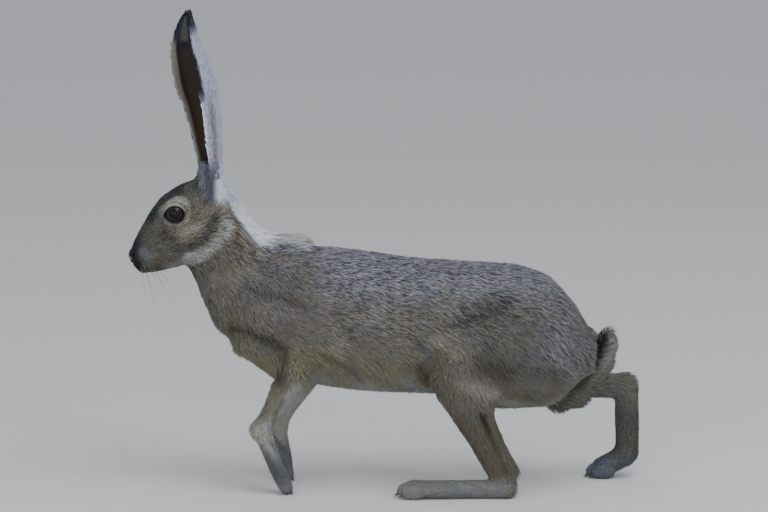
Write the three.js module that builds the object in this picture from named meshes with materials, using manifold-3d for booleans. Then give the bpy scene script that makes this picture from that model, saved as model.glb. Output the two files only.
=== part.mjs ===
// Black-tailed jackrabbit in mid-stride, life size: nose toward -X, left side toward -Y, +Z up, millimetres.
// The body is a row of lofts, each a rounded bar with its own depth and width along it, blended into one
// another; every named part is a region of that body, parted from its neighbours by thin gaps.
import * as THREE from "three";
import Module from "manifold-3d";

const wasm = await Module();
wasm.setup();

// Driving dimensions.
const gap = 0.3; // between touching parts
const noseTip = [-237, 0, 215];
const skullBack = [-148.4, 0, 261.3];
const headLength = 100;
const eyeCentre = [-193.3, 19.2, 259.5];
const eyeRadius = 9.5;
const lidOpening = [9.3, 7.9]; // half length and half height of the ring of lids
const lidThickness = 1.6;
const earTilt = THREE.MathUtils.degToRad(42); // the cup's facing, turned out from straight ahead
const earWall = 2.5;
const earRim = 1.0;
const torsoSpan = [-135, 182];
const torsoMid = 150;
const forelegLeft = { elbow: [-86, -33, 112], wrist: [-117, -30, 60], toe: [-92.5, -30, 4.6] };
const forelegRight = { elbow: [-69, 33, 110], wrist: [-102.5, 29, 54], toe: [-93, 29, 4.6] };
const soleLeft = -47; // sideways place of the near hind foot
const soleRight = 41;
const footTop = 18.3; // height at which the near hind foot is parted from its shank
const kneeTop = 89; // height at which the near shank is parted from its thigh
const wristLean = { back: 18, down: 30 }; // how far the wrist's parting plane is turned from the paw's line

// Toes: middle of the row, space between them, half sizes of a toe, and turn about the sideways axis.
const foreToes = { ahead: 0.8, above: 2.9, spread: 4.2, size: [8.6, 3.3, 6.4], turn: -1.95 };
const nearHindToes = { middle: [21, soleLeft, 7.2], spread: 5.6, size: [12, 4.3, 8], turn: 0 };
const farHindToes = { middle: [200, soleRight, 6.9], spread: 5.6, size: [13, 4.3, 8], turn: -0.1 };

// Places of a surface's grid along one axis: even steps of about the given size between the stops.
function ticks(stops, steps) {
  const places = [stops[0]];
  steps.forEach((step, i) => {
    const span = stops[i + 1] - stops[i];
    const count = Math.max(1, Math.round(span / step));
    for (let n = 1; n <= count; n++) places.push(stops[i] + (span * n) / count);
  });
  return places;
}
const even = (low, high, steps) => low.map((v, i) => ticks([v, high[i]], [steps[i]]));

// Grids of the parts.
const thighSteps = [12.5, 10, 11];
const limbSteps = [7, 5.6, 8];
const tailGrid = even([124, -22, 62], [218, 22, 164], [7.8, 6.6, 7.6]);
const headGrid = [
  ticks([-241, -214, -136], [3.2, 6.6]),
  ticks([-34, -15, 15, 34], [5.8, 4.1, 5.8]),
  ticks([190, 242, 306], [4.6, 6.6]),
];
const neckGrid = even([-196, -58, 112], [-70, 58, 304], [11.8, 11.6, 11.8]);
const torsoGrid = [
  ticks([-190, -55, 62], [11, 24]),
  ticks([-61, 61], [15]),
  ticks([70, 258], [15]),
];
const rumpGrid = [ticks([28, 130, 205], [22, 11]), ticks([-68, 68], [13.5]), ticks([60, 226], [13.5])];

// A loft runs from a to b. Each station: share of the length, rise of the middle line, half width,
// depth above it and depth below it. The caps are the lengths of its rounded ends.
function loft(a, b, stations, caps, blend, upward = [0, 0, 1]) {
  const start = new THREE.Vector3(...a);
  const along = new THREE.Vector3(...b).sub(start);
  const length = along.length();
  along.normalize();
  const up = new THREE.Vector3(...upward);
  up.addScaledVector(along, -up.dot(along)).normalize();
  const across = new THREE.Vector3().crossVectors(up, along);
  const widest = Math.max(...stations.flatMap((s) => s.slice(2)), ...caps);
  const rise = Math.max(...stations.map((s) => Math.abs(s[1])));
  return {
    start,
    along,
    up,
    across,
    length,
    caps,
    blend,
    rows: [1, 2, 3, 4].map((c) => curve(stations.map((s) => s[0]), stations.map((s) => s[c]))),
    ends: [stations[0][0], stations[stations.length - 1][0]],
    middle: start.clone().addScaledVector(along, length / 2),
    reach: length / 2 + widest + rise + blend,
  };
}

// Smooth curve through the knots that never overshoots them.
function curve(knots, values) {
  const last = knots.length - 1;
  const slope = [];
  for (let i = 0; i < last; i++) slope.push((values[i + 1] - values[i]) / (knots[i + 1] - knots[i]));
  const lean = knots.map((_, i) => {
    if (i === 0) return slope[0];
    if (i === last) return slope[last - 1];
    if (slope[i - 1] * slope[i] <= 0) return 0;
    return (2 * slope[i - 1] * slope[i]) / (slope[i - 1] + slope[i]);
  });
  return (t) => {
    let i = 0;
    while (i < last - 1 && t > knots[i + 1]) i++;
    const span = knots[i + 1] - knots[i];
    const q = THREE.MathUtils.clamp((t - knots[i]) / span, 0, 1);
    const rest = 1 - q;
    return (
      rest * rest * (1 + 2 * q) * values[i] +
      q * q * (3 - 2 * q) * values[i + 1] +
      q * rest * rest * span * lean[i] -
      q * q * rest * span * lean[i + 1]
    );
  };
}

// Distance outside a loft's surface, below zero inside it.
const offset = new THREE.Vector3();
function outside(bar, point) {
  offset.subVectors(point, bar.start);
  const u = offset.dot(bar.along) / bar.length;
  const t = THREE.MathUtils.clamp(u, bar.ends[0], bar.ends[1]);
  const [rise, wide, over, under] = bar.rows.map((row) => row(t));
  const side = offset.dot(bar.across);
  const height = offset.dot(bar.up) - rise;
  const beyond = (u - t) * bar.length;
  const cap = beyond < 0 ? bar.caps[0] : bar.caps[1];
  const share = Math.hypot(side / wide, height / (height > 0 ? over : under), beyond / cap) + 1e-6;
  const far = Math.hypot(side, height, beyond) + 1e-6;
  return far - far / share;
}

// All lofts blended into one another.
function body(bars) {
  return (point) => {
    let best = 60;
    for (const bar of bars) {
      if (point.distanceTo(bar.middle) > bar.reach + 10) continue;
      const d = outside(bar, point);
      const h = Math.max(bar.blend - Math.abs(best - d), 0) / bar.blend;
      best = Math.min(best, d) - (h * h * bar.blend) / 4;
    }
    return best;
  };
}

// Torso: place along the body, underside, back, half width.
const torsoRows = [
  [-135, 140, 205, 27],
  [-110, 116, 222, 35],
  [-75, 99, 228, 41],
  [-30, 92, 223.5, 45],
  [20, 89.5, 216.5, 47.5],
  [70, 87, 213, 47],
  [110, 84, 210.5, 47],
  [140, 84, 202.5, 45],
  [165, 92, 180, 39],
  [182, 102, 154, 29],
].map(([x, low, high, wide]) => {
  const middle = (low + high) / 2;
  const share = (x - torsoSpan[0]) / (torsoSpan[1] - torsoSpan[0]);
  return [share, middle - torsoMid, wide, high - middle, middle - low];
});

// Head: place back from the nose, crown, underside, half width, middle.
const headRows = [
  [5, 6, -9, 8, -2],
  [13, 13, -18.5, 12.5, -4],
  [26, 22, -23, 16.5, -2],
  [41, 31, -25, 20.5, 1],
  [56, 37, -26.5, 23.5, 3],
  [72, 38.6, -28.5, 24.5, 4],
  [88, 37, -29, 24, 4],
].map(([back, high, low, wide, middle]) => [
  back / headLength,
  middle,
  wide,
  high - middle,
  middle - low,
]);

// A point of the head: back from the nose, sideways, up from the head's own line.
const headAlong = new THREE.Vector3(...skullBack).sub(new THREE.Vector3(...noseTip)).normalize();
const headUp = new THREE.Vector3(-headAlong.z, 0, headAlong.x);
function onHead(back, side, rise) {
  return new THREE.Vector3(...noseTip)
    .addScaledVector(headAlong, back)
    .addScaledVector(headUp, rise)
    .add(new THREE.Vector3(0, side, 0))
    .toArray();
}

const sides = [-1, 1];

const trunk = [
  loft([torsoSpan[0], 0, torsoMid], [torsoSpan[1], 0, torsoMid], torsoRows, [24, 10], 10),
  loft([-118, 0, 224], [-88, 0, 225], [[0, 0, 17, 15.5, 22], [1, 0, 18, 13, 22]], [18, 17], 11),
];
const neckBars = [
  loft(
    [-163, 0, 240],
    [-122, 0, 186],
    [[0, 0, 24, 31, 30], [0.5, 0, 27, 37, 36], [1, 0, 32, 44, 44]],
    [14, 22],
    16,
    [0.6, 0, 0.5],
  ),
  loft(
    [-156, 0, 270],
    [-134, 0, 233],
    [[0, 0, 15, 15, 14], [1, 0, 20, 16, 14]],
    [10, 10],
    14,
    [0.84, 0, 0.55],
  ),
  loft(
    [-159, 0, 180],
    [-128, 0, 146],
    [[0, 0, 17, 14, 8], [0.5, 0, 22, 18, 12], [1, 0, 24, 18, 12.5]],
    [11, 18],
    14,
    [0.6, 0, 0.5],
  ),
  loft([-176, 0, 222], [-160, 0, 196], [[0, 0, 17, 12, 12], [1, 0, 20, 14, 13]], [10, 10], 12, [0.8, 0, 0.6]),
];
const headBars = [
  loft(noseTip, skullBack, headRows, [5, 16], 16),
  ...sides.flatMap((s) => [
    loft(
      onHead(9, 6.5 * s, -8),
      onHead(22, 10 * s, -10),
      [[0, 0, 7, 8, 7.5], [1, 0, 8.5, 10, 10.5]],
      [6, 9],
      7,
    ),
    loft(
      onHead(40, 11 * s, -9),
      onHead(66, 14 * s, -7),
      [[0, 0, 9.5, 13, 13], [1, 0, 11.5, 15, 17]],
      [14, 16],
      12,
    ),
    loft(
      onHead(52, 13.5 * s, 20),
      onHead(64, 14.5 * s, 20.5),
      [[0, 0, 11, 12, 12], [1, 0, 11, 12, 12]],
      [9, 10],
      9,
    ),
    loft(
      [-164, 12.5 * s, 262],
      [-162, 14.5 * s, 281],
      [[0, 0, 13, 15, 14], [1, 0, 11.5, 12.5, 14]],
      [14, 7],
      12,
      [1, 0, 0],
    ),
  ]),
  loft(onHead(8, 0, -12.5), onHead(34, 0, -16.5), [[0, 0, 6, 6, 5.5], [1, 0, 12, 8, 8]], [5, 12], 8),
];
const shoulders = sides.flatMap((s) => {
  const elbow = (s < 0 ? forelegLeft : forelegRight).elbow;
  return [
    loft(
      [-92, 24 * s, 202],
      [-126, 27 * s, 150],
      [[0, 0, 14, 20, 22], [0.5, 0, 17, 24, 26], [1, 0, 16, 20, 22]],
      [16, 14],
      18,
      [-0.8, 0, 0.6],
    ),
    loft([-124, 29 * s, 148], elbow, [[0, 0, 14, 19, 20], [1, 0, 11.5, 14, 14]], [10, 9], 16),
  ];
});
const forelegs = sides.flatMap((s) => {
  const { elbow, wrist, toe } = s < 0 ? forelegLeft : forelegRight;
  return [
    loft(
      elbow,
      wrist,
      [[0, 0, 11.5, 15, 15], [0.35, 0, 10, 12.5, 12], [0.75, 0, 8, 9, 8.5], [1, 0, 8.5, 8.5, 8.5]],
      [9, 7],
      12,
      [1, 0, 0],
    ),
    loft(
      wrist,
      toe,
      [[0, 0, 8.5, 8.5, 8], [0.35, 0, 8.2, 7.5, 7.2], [0.7, 0, 8.8, 7.2, 7.6], [0.9, 0, 8.4, 6, 7]],
      [7, 3],
      8,
      [1, 0, 0],
    ),
  ];
});
const haunches = sides.map((s) =>
  loft(
    [104, 29 * s, 136],
    [134, 29 * s, 136],
    [[0, 0, 22, 48, 55], [1, 0, 22, 46, 54]],
    [48, 40],
    24,
  ),
);
const knees = [
  loft([104, -37, 124], [62, -44, 113], [[0, 0, 19, 34, 30], [1, 0, 15, 19, 21]], [24, 14], 22),
  loft(
    [120, 36, 120],
    [98, 42, 94],
    [[0, 0, 19, 30, 30], [1, 0, 15, 20, 22]],
    [24, 14],
    22,
    [1, 0, 0.3],
  ),
];
const hindLegs = [
  loft(
    [61, -45, 112],
    [109, soleLeft, 22],
    [
      [0, 0, 14, 24, 22],
      [0.3, 0, 12, 20, 20.5],
      [0.6, 0, 9.5, 14.5, 17.5],
      [0.85, 0, 8.5, 13, 16.5],
      [1, 0, 9, 13.5, 15],
    ],
    [12, 8],
    18,
    [1, 0, 0],
  ),
  loft(
    [110, soleLeft, 9],
    [26, soleLeft, 7.5],
    [[0, 0, 9.5, 9.5, 10], [0.3, 0, 9, 8.5, 9.5], [0.7, 0, 11, 8.5, 8.5], [1, 0, 11.5, 9.5, 8.5]],
    [11, 8],
    10,
  ),
  loft(
    [98, 42, 92],
    [222, soleRight, 87],
    [[0, 0, 15, 24, 20], [0.35, 0, 13, 18, 17], [0.8, 0, 9.5, 12.5, 12.5], [1, 0, 9, 12, 12]],
    [14, 10],
    18,
  ),
  loft(
    [224, soleRight, 90],
    [226, soleRight, 26],
    [[0, 0, 9, 11.5, 11.5], [0.5, 0, 8.5, 12, 11.5], [1, 0, 10, 11, 11]],
    [9, 9],
    8,
    [1, 0, 0],
  ),
  loft(
    [223, soleRight, 20],
    [203, soleRight, 10],
    [[0, 0, 11, 11, 10], [1, 0, 11.5, 9.5, 10.5]],
    [10, 8],
    8,
  ),
];

// Four toes side by side, the middle two longer, each a rounded lobe with a short claw.
function toes({ middle: [x, y, z], spread, size: [long, wide, high], turn }) {
  return [-1.5, -0.5, 0.5, 1.5].map((place) => {
    const back = Math.abs(place) > 1 ? 0.3 * long : 0;
    const lobe = new THREE.SphereGeometry(1, 8, 6);
    lobe.scale(long, wide, high);
    const claw = new THREE.ConeGeometry(1.3, 7, 5);
    claw.rotateZ(Math.PI / 2 + 0.3);
    claw.translate(-long - 1.2, 0, -0.35 * high);
    const both = [lobe, claw].map((geometry) => {
      geometry.translate(back, 0, 0);
      geometry.rotateZ(-0.06 * place);
      geometry.rotateY(turn);
      geometry.translate(x, y + place * spread, z);
      return made(geometry);
    });
    return both[0].add(both[1]);
  }).reduce((all, one) => all.add(one));
}

// Tail: middle line and half thickness, curled up against the rump.
const tailRows = [
  [140, 97, 10, 10],
  [158, 84.5, 11.5, 12],
  [174.5, 88.5, 12.3, 12.5],
  [186.5, 101.5, 12.5, 12.5],
  [195.5, 117, 12, 12],
  [200.5, 132, 10.5, 10],
  [202.3, 145, 7, 7],
];
const tailBars = tailRows.slice(1).map((to, i) => {
  const from = tailRows[i];
  return loft(
    [from[0], 0, from[1]],
    [to[0], 0, to[1]],
    [[0, 0, from[2], from[3], from[3]], [1, 0, to[2], to[3], to[3]]],
    [from[3], i === tailRows.length - 2 ? 8 : to[3]],
    10,
    i < 2 ? [0.3, 0, 1] : [1, 0, 0],
  );
});

const core = [...trunk, ...neckBars, ...shoulders, ...haunches, ...knees];
const coreAndForelegs = body([...core, ...forelegs]);
const coreAndHindLegs = body([...core, ...hindLegs]);
const whole = body([...core, ...headBars, ...forelegs, ...hindLegs]);

const rimValue = 12; // at a grid's border, which closes the surface there
const corners = [0, 1, 2, 3, 4, 5, 6, 7].map((c) => [c & 1, (c >> 1) & 1, (c >> 2) & 1]);

// Closed surface of a field inside a box: one vertex per cell that the surface crosses, drawn onto it.
function surface(field, grid, grow = 0) {
  const count = grid.map((places) => places.length);
  const at = (i, j, k) => (i * count[1] + j) * count[2] + k;
  const values = new Float64Array(count[0] * count[1] * count[2]);
  const point = new THREE.Vector3();
  const value = (x, y, z) => field(point.set(x, y, z)) - grow;
  for (let i = 0; i < count[0]; i++)
    for (let j = 0; j < count[1]; j++)
      for (let k = 0; k < count[2]; k++) {
        const edge = [i, j, k].some((v, axis) => v === 0 || v === count[axis] - 1);
        const here = value(grid[0][i], grid[1][j], grid[2][k]);
        values[at(i, j, k)] = edge ? Math.max(here, rimValue) : here;
      }
  untangle(values, count, at);
  const places = [];
  const free = [];
  const cells = new Map();
  for (let i = 0; i < count[0] - 1; i++)
    for (let j = 0; j < count[1] - 1; j++)
      for (let k = 0; k < count[2] - 1; k++) {
        const v = corners.map(([a, b, c]) => values[at(i + a, j + b, k + c)]);
        if (v.every((f) => f < 0) || v.every((f) => f >= 0)) continue;
        const sum = [0, 0, 0];
        let hits = 0;
        for (let m = 0; m < 8; m++)
          for (const bit of [1, 2, 4]) {
            const n = m | bit;
            if (n === m || v[m] < 0 === v[n] < 0) continue;
            const q = v[m] / (v[m] - v[n]);
            for (let axis = 0; axis < 3; axis++)
              sum[axis] += corners[m][axis] + q * (corners[n][axis] - corners[m][axis]);
            hits++;
          }
        const base = [i, j, k].map((n, axis) => grid[axis][n]);
        const step = [i, j, k].map((n, axis) => grid[axis][n + 1] - grid[axis][n]);
        const place = base.map((b, axis) => b + (step[axis] * sum[axis]) / hits);
        const inner = [i, j, k].every((n, axis) => n > 0 && n < count[axis] - 2);
        if (inner) drawOnto(value, place, step[0] / 2);
        cells.set(at(i, j, k), places.length);
        places.push(place);
        free.push(inner);
      }
  const rings = [];
  const axes = [
    [1, 0, 0],
    [0, 1, 0],
    [0, 0, 1],
  ];
  for (let i = 0; i < count[0] - 1; i++)
    for (let j = 0; j < count[1] - 1; j++)
      for (let k = 0; k < count[2] - 1; k++)
        axes.forEach((ahead, axis) => {
          const first = values[at(i, j, k)] < 0;
          const second = values[at(i + ahead[0], j + ahead[1], k + ahead[2])] < 0;
          if (first === second) return;
          const b = axes[(axis + 1) % 3];
          const c = axes[(axis + 2) % 3];
          const cell = (m, n) =>
            cells.get(at(i - m * b[0] - n * c[0], j - m * b[1] - n * c[1], k - m * b[2] - n * c[2]));
          const ring = [cell(1, 1), cell(0, 1), cell(0, 0), cell(1, 0)];
          if (!first) ring.reverse();
          rings.push(ring);
        });
  spread(value, places, rings, free);
  const index = [];
  const flat = places.flat();
  rings.forEach((ring) => quad(index, flat, ring));
  return solid(flat, index);
}

// Spaces the vertices evenly: each moves toward the middle of its neighbours, then back onto the surface.
function spread(value, places, rings, free) {
  const rounds = 3;
  const around = places.map(() => new Set());
  rings.forEach((ring) => ring.forEach((n, i) => around[n].add(ring[(i + 1) % 4]).add(ring[(i + 3) % 4])));
  for (let turn = 0; turn < rounds; turn++) {
    const middles = around.map((set) =>
      [0, 1, 2].map((axis) => [...set].reduce((sum, n) => sum + places[n][axis], 0) / set.size),
    );
    places.forEach((place, n) => {
      if (!free[n]) return;
      const before = [...place];
      place.forEach((v, axis) => (place[axis] = 0.4 * v + 0.6 * middles[n][axis]));
      drawOnto(value, place, 3);
      if (!place.every(Number.isFinite)) place.splice(0, 3, ...before);
    });
  }
}

// In every cell the inside corners hang together and so do the outside ones: where they don't, the
// corner nearest the surface changes sides, so that no two sheets share a cell.
function untangle(values, count, at) {
  const passes = 8;
  for (let pass = 0; pass < passes; pass++) {
    let changed = false;
    for (let i = 0; i < count[0] - 1; i++)
      for (let j = 0; j < count[1] - 1; j++)
        for (let k = 0; k < count[2] - 1; k++) {
          const places = corners.map(([a, b, c]) => at(i + a, j + b, k + c));
          const within = places.map((n) => values[n] < 0);
          if (hangsTogether(within, true) && hangsTogether(within, false)) continue;
          const nearest = places.reduce((m, n) => (Math.abs(values[n]) < Math.abs(values[m]) ? n : m));
          values[nearest] = values[nearest] < 0 ? 1e-3 - values[nearest] : -1e-3 - values[nearest];
          changed = true;
        }
    if (!changed) return;
  }
}

function hangsTogether(within, kind) {
  const members = [0, 1, 2, 3, 4, 5, 6, 7].filter((c) => within[c] === kind);
  const found = new Set(members.slice(0, 1));
  for (const c of found)
    for (const bit of [1, 2, 4]) if (within[c ^ bit] === kind) found.add(c ^ bit);
  return found.size === members.length;
}

// Two triangles across the shorter diagonal.
function quad(index, places, [a, b, c, d]) {
  const span = (m, n) =>
    Math.hypot(...[0, 1, 2].map((axis) => places[3 * m + axis] - places[3 * n + axis]));
  if (span(a, c) <= span(b, d)) index.push(a, b, c, a, c, d);
  else index.push(b, c, d, b, d, a);
}

// Moves a place along the field's slope onto its surface, at most so far.
function drawOnto(value, place, most) {
  const probe = 0.2;
  for (let turn = 0; turn < 3; turn++) {
    const here = value(...place);
    const slope = [0, 1, 2].map((axis) => {
      const next = [...place];
      next[axis] += probe;
      return (value(...next) - here) / probe;
    });
    const steep = slope.reduce((sum, v) => sum + v * v, 0) + 1e-4;
    const way = slope.map((v) => (-here * v) / steep);
    const size = Math.hypot(...way);
    const share = size > most ? most / size : 1;
    way.forEach((v, axis) => (place[axis] += v * share));
  }
}

function solid(places, index) {
  return new wasm.Manifold(
    new wasm.Mesh({
      numProp: 3,
      vertProperties: new Float32Array(places),
      triVerts: new Uint32Array(index),
    }),
  );
}

// A ready-made geometry as a solid, its doubled seam points joined.
function made(geometry) {
  const from = geometry.getAttribute("position");
  const known = new Map();
  const places = [];
  const number = [];
  for (let i = 0; i < from.count; i++) {
    const xyz = [from.getX(i), from.getY(i), from.getZ(i)];
    const key = xyz.map((v) => Math.round(v * 1e4)).join();
    if (!known.has(key)) {
      known.set(key, places.length / 3);
      places.push(...xyz);
    }
    number.push(known.get(key));
  }
  const index = [];
  const order = geometry.index ? Array.from(geometry.index.array) : number.map((_, i) => i);
  for (let i = 0; i < order.length; i += 3) {
    const [a, b, c] = [order[i], order[i + 1], order[i + 2]].map((n) => number[n]);
    if (a !== b && b !== c && a !== c) index.push(a, b, c);
  }
  return solid(places, index);
}

function block(low, high) {
  const size = low.map((v, i) => high[i] - v);
  const geometry = new THREE.BoxGeometry(...size);
  geometry.translate(...low.map((v, i) => v + size[i] / 2));
  return made(geometry);
}

// Everything on the side that the facing points to, from a plane through a point.
function halfSpace(through, facing, shift = 0) {
  const far = 700;
  const geometry = new THREE.BoxGeometry(far, far, far);
  geometry.translate(0, 0, far / 2 + shift);
  const way = new THREE.Vector3(...facing).normalize();
  geometry.applyQuaternion(new THREE.Quaternion().setFromUnitVectors(new THREE.Vector3(0, 0, 1), way));
  geometry.translate(...through);
  return made(geometry);
}

// Oval bar across the body: middle, half length, half height, turn, and how far in it starts.
function oval([x, z], [long, short], turn, side, inner, grow = 0) {
  const deep = 70;
  const geometry = new THREE.CylinderGeometry(1, 1, deep, 28);
  geometry.scale(long + grow, 1, short + grow);
  geometry.rotateY(-turn);
  geometry.translate(x, side * (inner - grow + deep / 2), z);
  return made(geometry);
}

// Round bar through a row of points with its own half thickness at each, both ends closed.
function rod(points, thickness, corners = 8) {
  const line = points.map((p) => new THREE.Vector3(...p));
  const places = [];
  const index = [];
  const last = line.length - 1;
  const upright = new THREE.Vector3(0.12, 0.97, 0.2);
  line.forEach((p, i) => {
    const way = line[Math.min(i + 1, last)].clone().sub(line[Math.max(i - 1, 0)]).normalize();
    const first = new THREE.Vector3().crossVectors(upright, way).normalize();
    const second = new THREE.Vector3().crossVectors(way, first);
    for (let c = 0; c < corners; c++) {
      const turn = (2 * Math.PI * c) / corners;
      const at = p.clone();
      at.addScaledVector(first, thickness[i] * Math.cos(turn));
      at.addScaledVector(second, thickness[i] * Math.sin(turn));
      places.push(...at.toArray());
    }
  });
  const ring = (i, c) => i * corners + (c % corners);
  for (let i = 0; i < last; i++)
    for (let c = 0; c < corners; c++) {
      index.push(ring(i, c), ring(i, c + 1), ring(i + 1, c + 1));
      index.push(ring(i, c), ring(i + 1, c + 1), ring(i + 1, c));
    }
  places.push(...line[0].toArray(), ...line[last].toArray());
  const start = (last + 1) * corners;
  for (let c = 0; c < corners; c++) {
    index.push(start, ring(0, c + 1), ring(0, c));
    index.push(start + 1, ring(last, c), ring(last, c + 1));
  }
  return solid(places, index);
}

// Ear: height, middle line forward and sideways, half breadth of the cup, and how far round its rim comes.
const earRows = [
  [290, -160.8, 15.5, 10.2, 131],
  [308, -162.2, 16, 11.3, 131],
  [322, -163.8, 17, 12.9, 130],
  [355, -169.7, 20.3, 16.1, 121],
  [377, -176.3, 22.6, 19, 112],
  [395, -181.2, 23, 17.8, 104],
  [415, -185.1, 22, 13.7, 101],
  [430, -184.6, 20.6, 8.6, 98],
  [437.5, -183.2, 20, 4.6, 95],
  [441, -182.4, 19.8, 1.8, 92],
];
const earHeights = earRows.map((row) => row[0]);
const earLine = [1, 2, 3, 4].map((c) => curve(earHeights, earRows.map((row) => row[c])));

function ear(side) {
  const rows = 15;
  const columns = 10;
  const places = [];
  for (const inner of [false, true])
    for (let i = 0; i <= rows; i++) {
      const climb = i / rows;
      const z = earRows[0][0] + (earRows.at(-1)[0] - earRows[0][0]) * (1.35 * climb - 0.35 * climb ** 2.4);
      const [x, y, breadth, reach] = earLine.map((row) => row(z));
      const top = Math.min(1, breadth / 7);
      for (let j = 0; j <= columns; j++) {
        const turn = THREE.MathUtils.degToRad(reach) * ((2 * j) / columns - 1);
        const wall = (earRim + (earWall - earRim) * Math.cos(turn / 2) ** 2) * top;
        const r = breadth - (inner ? wall : 0);
        places.push(x + r * Math.cos(turn - earTilt), side * (y + r * Math.sin(turn - earTilt)), z);
      }
    }
  const half = (rows + 1) * (columns + 1);
  const at = (layer, i, j) => layer * half + i * (columns + 1) + j;
  const index = [];
  for (let i = 0; i < rows; i++)
    for (let j = 0; j < columns; j++) {
      quad(index, places, [at(0, i, j), at(0, i, j + 1), at(0, i + 1, j + 1), at(0, i + 1, j)]);
      quad(index, places, [at(1, i, j + 1), at(1, i, j), at(1, i + 1, j), at(1, i + 1, j + 1)]);
    }
  for (let i = 0; i < rows; i++) {
    quad(index, places, [at(1, i, 0), at(0, i, 0), at(0, i + 1, 0), at(1, i + 1, 0)]);
    quad(index, places, [at(0, i, columns), at(1, i, columns), at(1, i + 1, columns), at(0, i + 1, columns)]);
  }
  for (let j = 0; j < columns; j++) {
    quad(index, places, [at(1, 0, j), at(1, 0, j + 1), at(0, 0, j + 1), at(0, 0, j)]);
    quad(index, places, [at(0, rows, j), at(0, rows, j + 1), at(1, rows, j + 1), at(1, rows, j)]);
  }
  if (side < 0) for (let n = 0; n < index.length; n += 3) [index[n], index[n + 1]] = [index[n + 1], index[n]];
  return solid(places, index);
}

// The solid foot of the ear, which closes the bottom of its cup.
function earStalk(side) {
  return loft(
    [-163, 13.5 * side, 268],
    [-161.5, 16 * side, 303],
    [[0, 0, 13, 14, 15], [0.5, 0, 11.4, 11.8, 13.4], [1, 0, 10.2, 10.4, 10.6]],
    [8, 3],
    6,
    [1, 0, 0],
  );
}

// Where a sideways line through a place on the head meets its surface.
const headField = body([...headBars, ...neckBars]);
function flank(back, rise, side, sink = 0) {
  let inside = 0;
  let beyond = 40;
  for (let turn = 0; turn < 30; turn++) {
    const middle = (inside + beyond) / 2;
    if (headField(new THREE.Vector3(...onHead(back, middle * side, rise))) < 0) inside = middle;
    else beyond = middle;
  }
  return onHead(back, (inside - sink) * side, rise);
}

const group = new THREE.Group();
const fur = (colour) => new THREE.MeshStandardMaterial({ color: colour, roughness: 0.95, metalness: 0 });
const coat = fur(0x8f8a80);
const glossy = new THREE.MeshStandardMaterial({ color: 0x2a211a, roughness: 0.12, metalness: 0 });

// Adds a part's largest piece: slivers that a cut leaves beside it are dropped.
function add(name, shape, material = coat) {
  const mesh = shape.decompose().reduce((most, one) => (one.volume() > most.volume() ? one : most)).getMesh();
  const geometry = new THREE.BufferGeometry();
  geometry.setAttribute("position", new THREE.BufferAttribute(mesh.vertProperties, 3));
  geometry.setIndex(new THREE.BufferAttribute(mesh.triVerts, 1));
  geometry.computeVertexNormals();
  const item = new THREE.Mesh(geometry, material);
  item.name = name;
  group.add(item);
}

const ground = halfSpace([0, 0, 0], [0, 0, 1]);

// Parting planes: a point on each, and the way toward the tail or the foot.
const headNeck = [[-164.5, 0, 248], [0.915, 0, -0.404]];
const neckTorso = [[-135, 0, 195], [0.89, 0, -0.455]];
const torsoRump = [[45, 0, 150], [1, 0, 0]];
const hockRight = [[224, soleRight, 90], [0.72, 0, -0.69]];
const before = ([point, way]) => halfSpace(point, way.map((v) => -v), gap / 2);
const behind = ([point, way]) => halfSpace(point, way, gap / 2);

// Ovals that bound the shoulder and thigh parts.
const shoulderOval = (side, grow) => {
  const [x, , z] = (side < 0 ? forelegLeft : forelegRight).elbow;
  const blade = oval([-103, 150], [57, 31], -1.08, side, 20, grow);
  return blade.add(oval([x, z + 2], [16, 16], 0, side, 14, grow));
};
const forearmBlock = (side, grow) => {
  const top = (side < 0 ? forelegLeft : forelegRight).elbow[2] - 9 + grow;
  const inner = 18.5 - grow;
  const [low, high] = side < 0 ? [-70, -inner] : [inner, 70];
  return block([-150, low, 0], [-48, high, top]);
};
const thighOval = (side, grow) =>
  side < 0
    ? oval([110, 130], [76, 52], 0.56, side, 15, grow)
    : oval([124, 124], [64, 50], 1.02, side, 15, grow);

// Head with its ring of lids, eye sockets, line of mouth and nostrils.
let head = surface(whole, headGrid).intersect(before(headNeck));
const line = (rows, side, sink) => rows.map(([back, rise]) => flank(back, rise, side, sink));
for (const side of sides) {
  const lids = new THREE.TorusGeometry(1, lidThickness / lidOpening[0], 7, 20);
  lids.rotateX(Math.PI / 2);
  lids.scale(lidOpening[0], lidOpening[0] * 1.25, lidOpening[1]);
  lids.rotateY(0.12);
  lids.rotateZ(side * 0.06);
  lids.translate(eyeCentre[0], side * (eyeCentre[1] + 4.9), eyeCentre[2]);
  head = head.add(made(lids));
}
for (const side of sides) {
  const socket = new THREE.SphereGeometry(eyeRadius + gap, 14, 8);
  socket.rotateX(Math.PI / 2);
  socket.translate(eyeCentre[0], side * eyeCentre[1], eyeCentre[2]);
  head = head.subtract(made(socket));
  const lips = [[4.6, -11.2], [7, -12.4], [10, -13.9], [14, -15.7], [18.5, -17.2], [22.5, -18.2]];
  head = head.subtract(rod(line(lips, side, 0.5), [1.2, 1.3, 1.3, 1.2, 1.1, 0.7], 6));
  const nostril = [[2.4, -5], [2.9, -2.4], [4, 0], [6, 1.6]];
  head = head.subtract(rod(line(nostril, side, 0.3), [0.9, 1.4, 1.5, 0.8], 6));
}
add("head", head);

for (const side of sides) {
  const name = side < 0 ? "left" : "right";
  const ball = new THREE.SphereGeometry(eyeRadius, 14, 8);
  ball.rotateX(Math.PI / 2);
  ball.translate(eyeCentre[0], side * eyeCentre[1], eyeCentre[2]);
  add("eye_" + name, made(ball), glossy);
  const stalkGrid = even([-182, side * 16 - 20, 255], [-142, side * 16 + 20, 312], [5, 5, 7]);
  const stalk = surface(body([earStalk(side)]), stalkGrid);
  const skull = surface(whole, headGrid, 2 * gap);
  add("ear_" + name, ear(side).add(stalk).subtract(skull).intersect(before(headNeck)));
}

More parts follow.
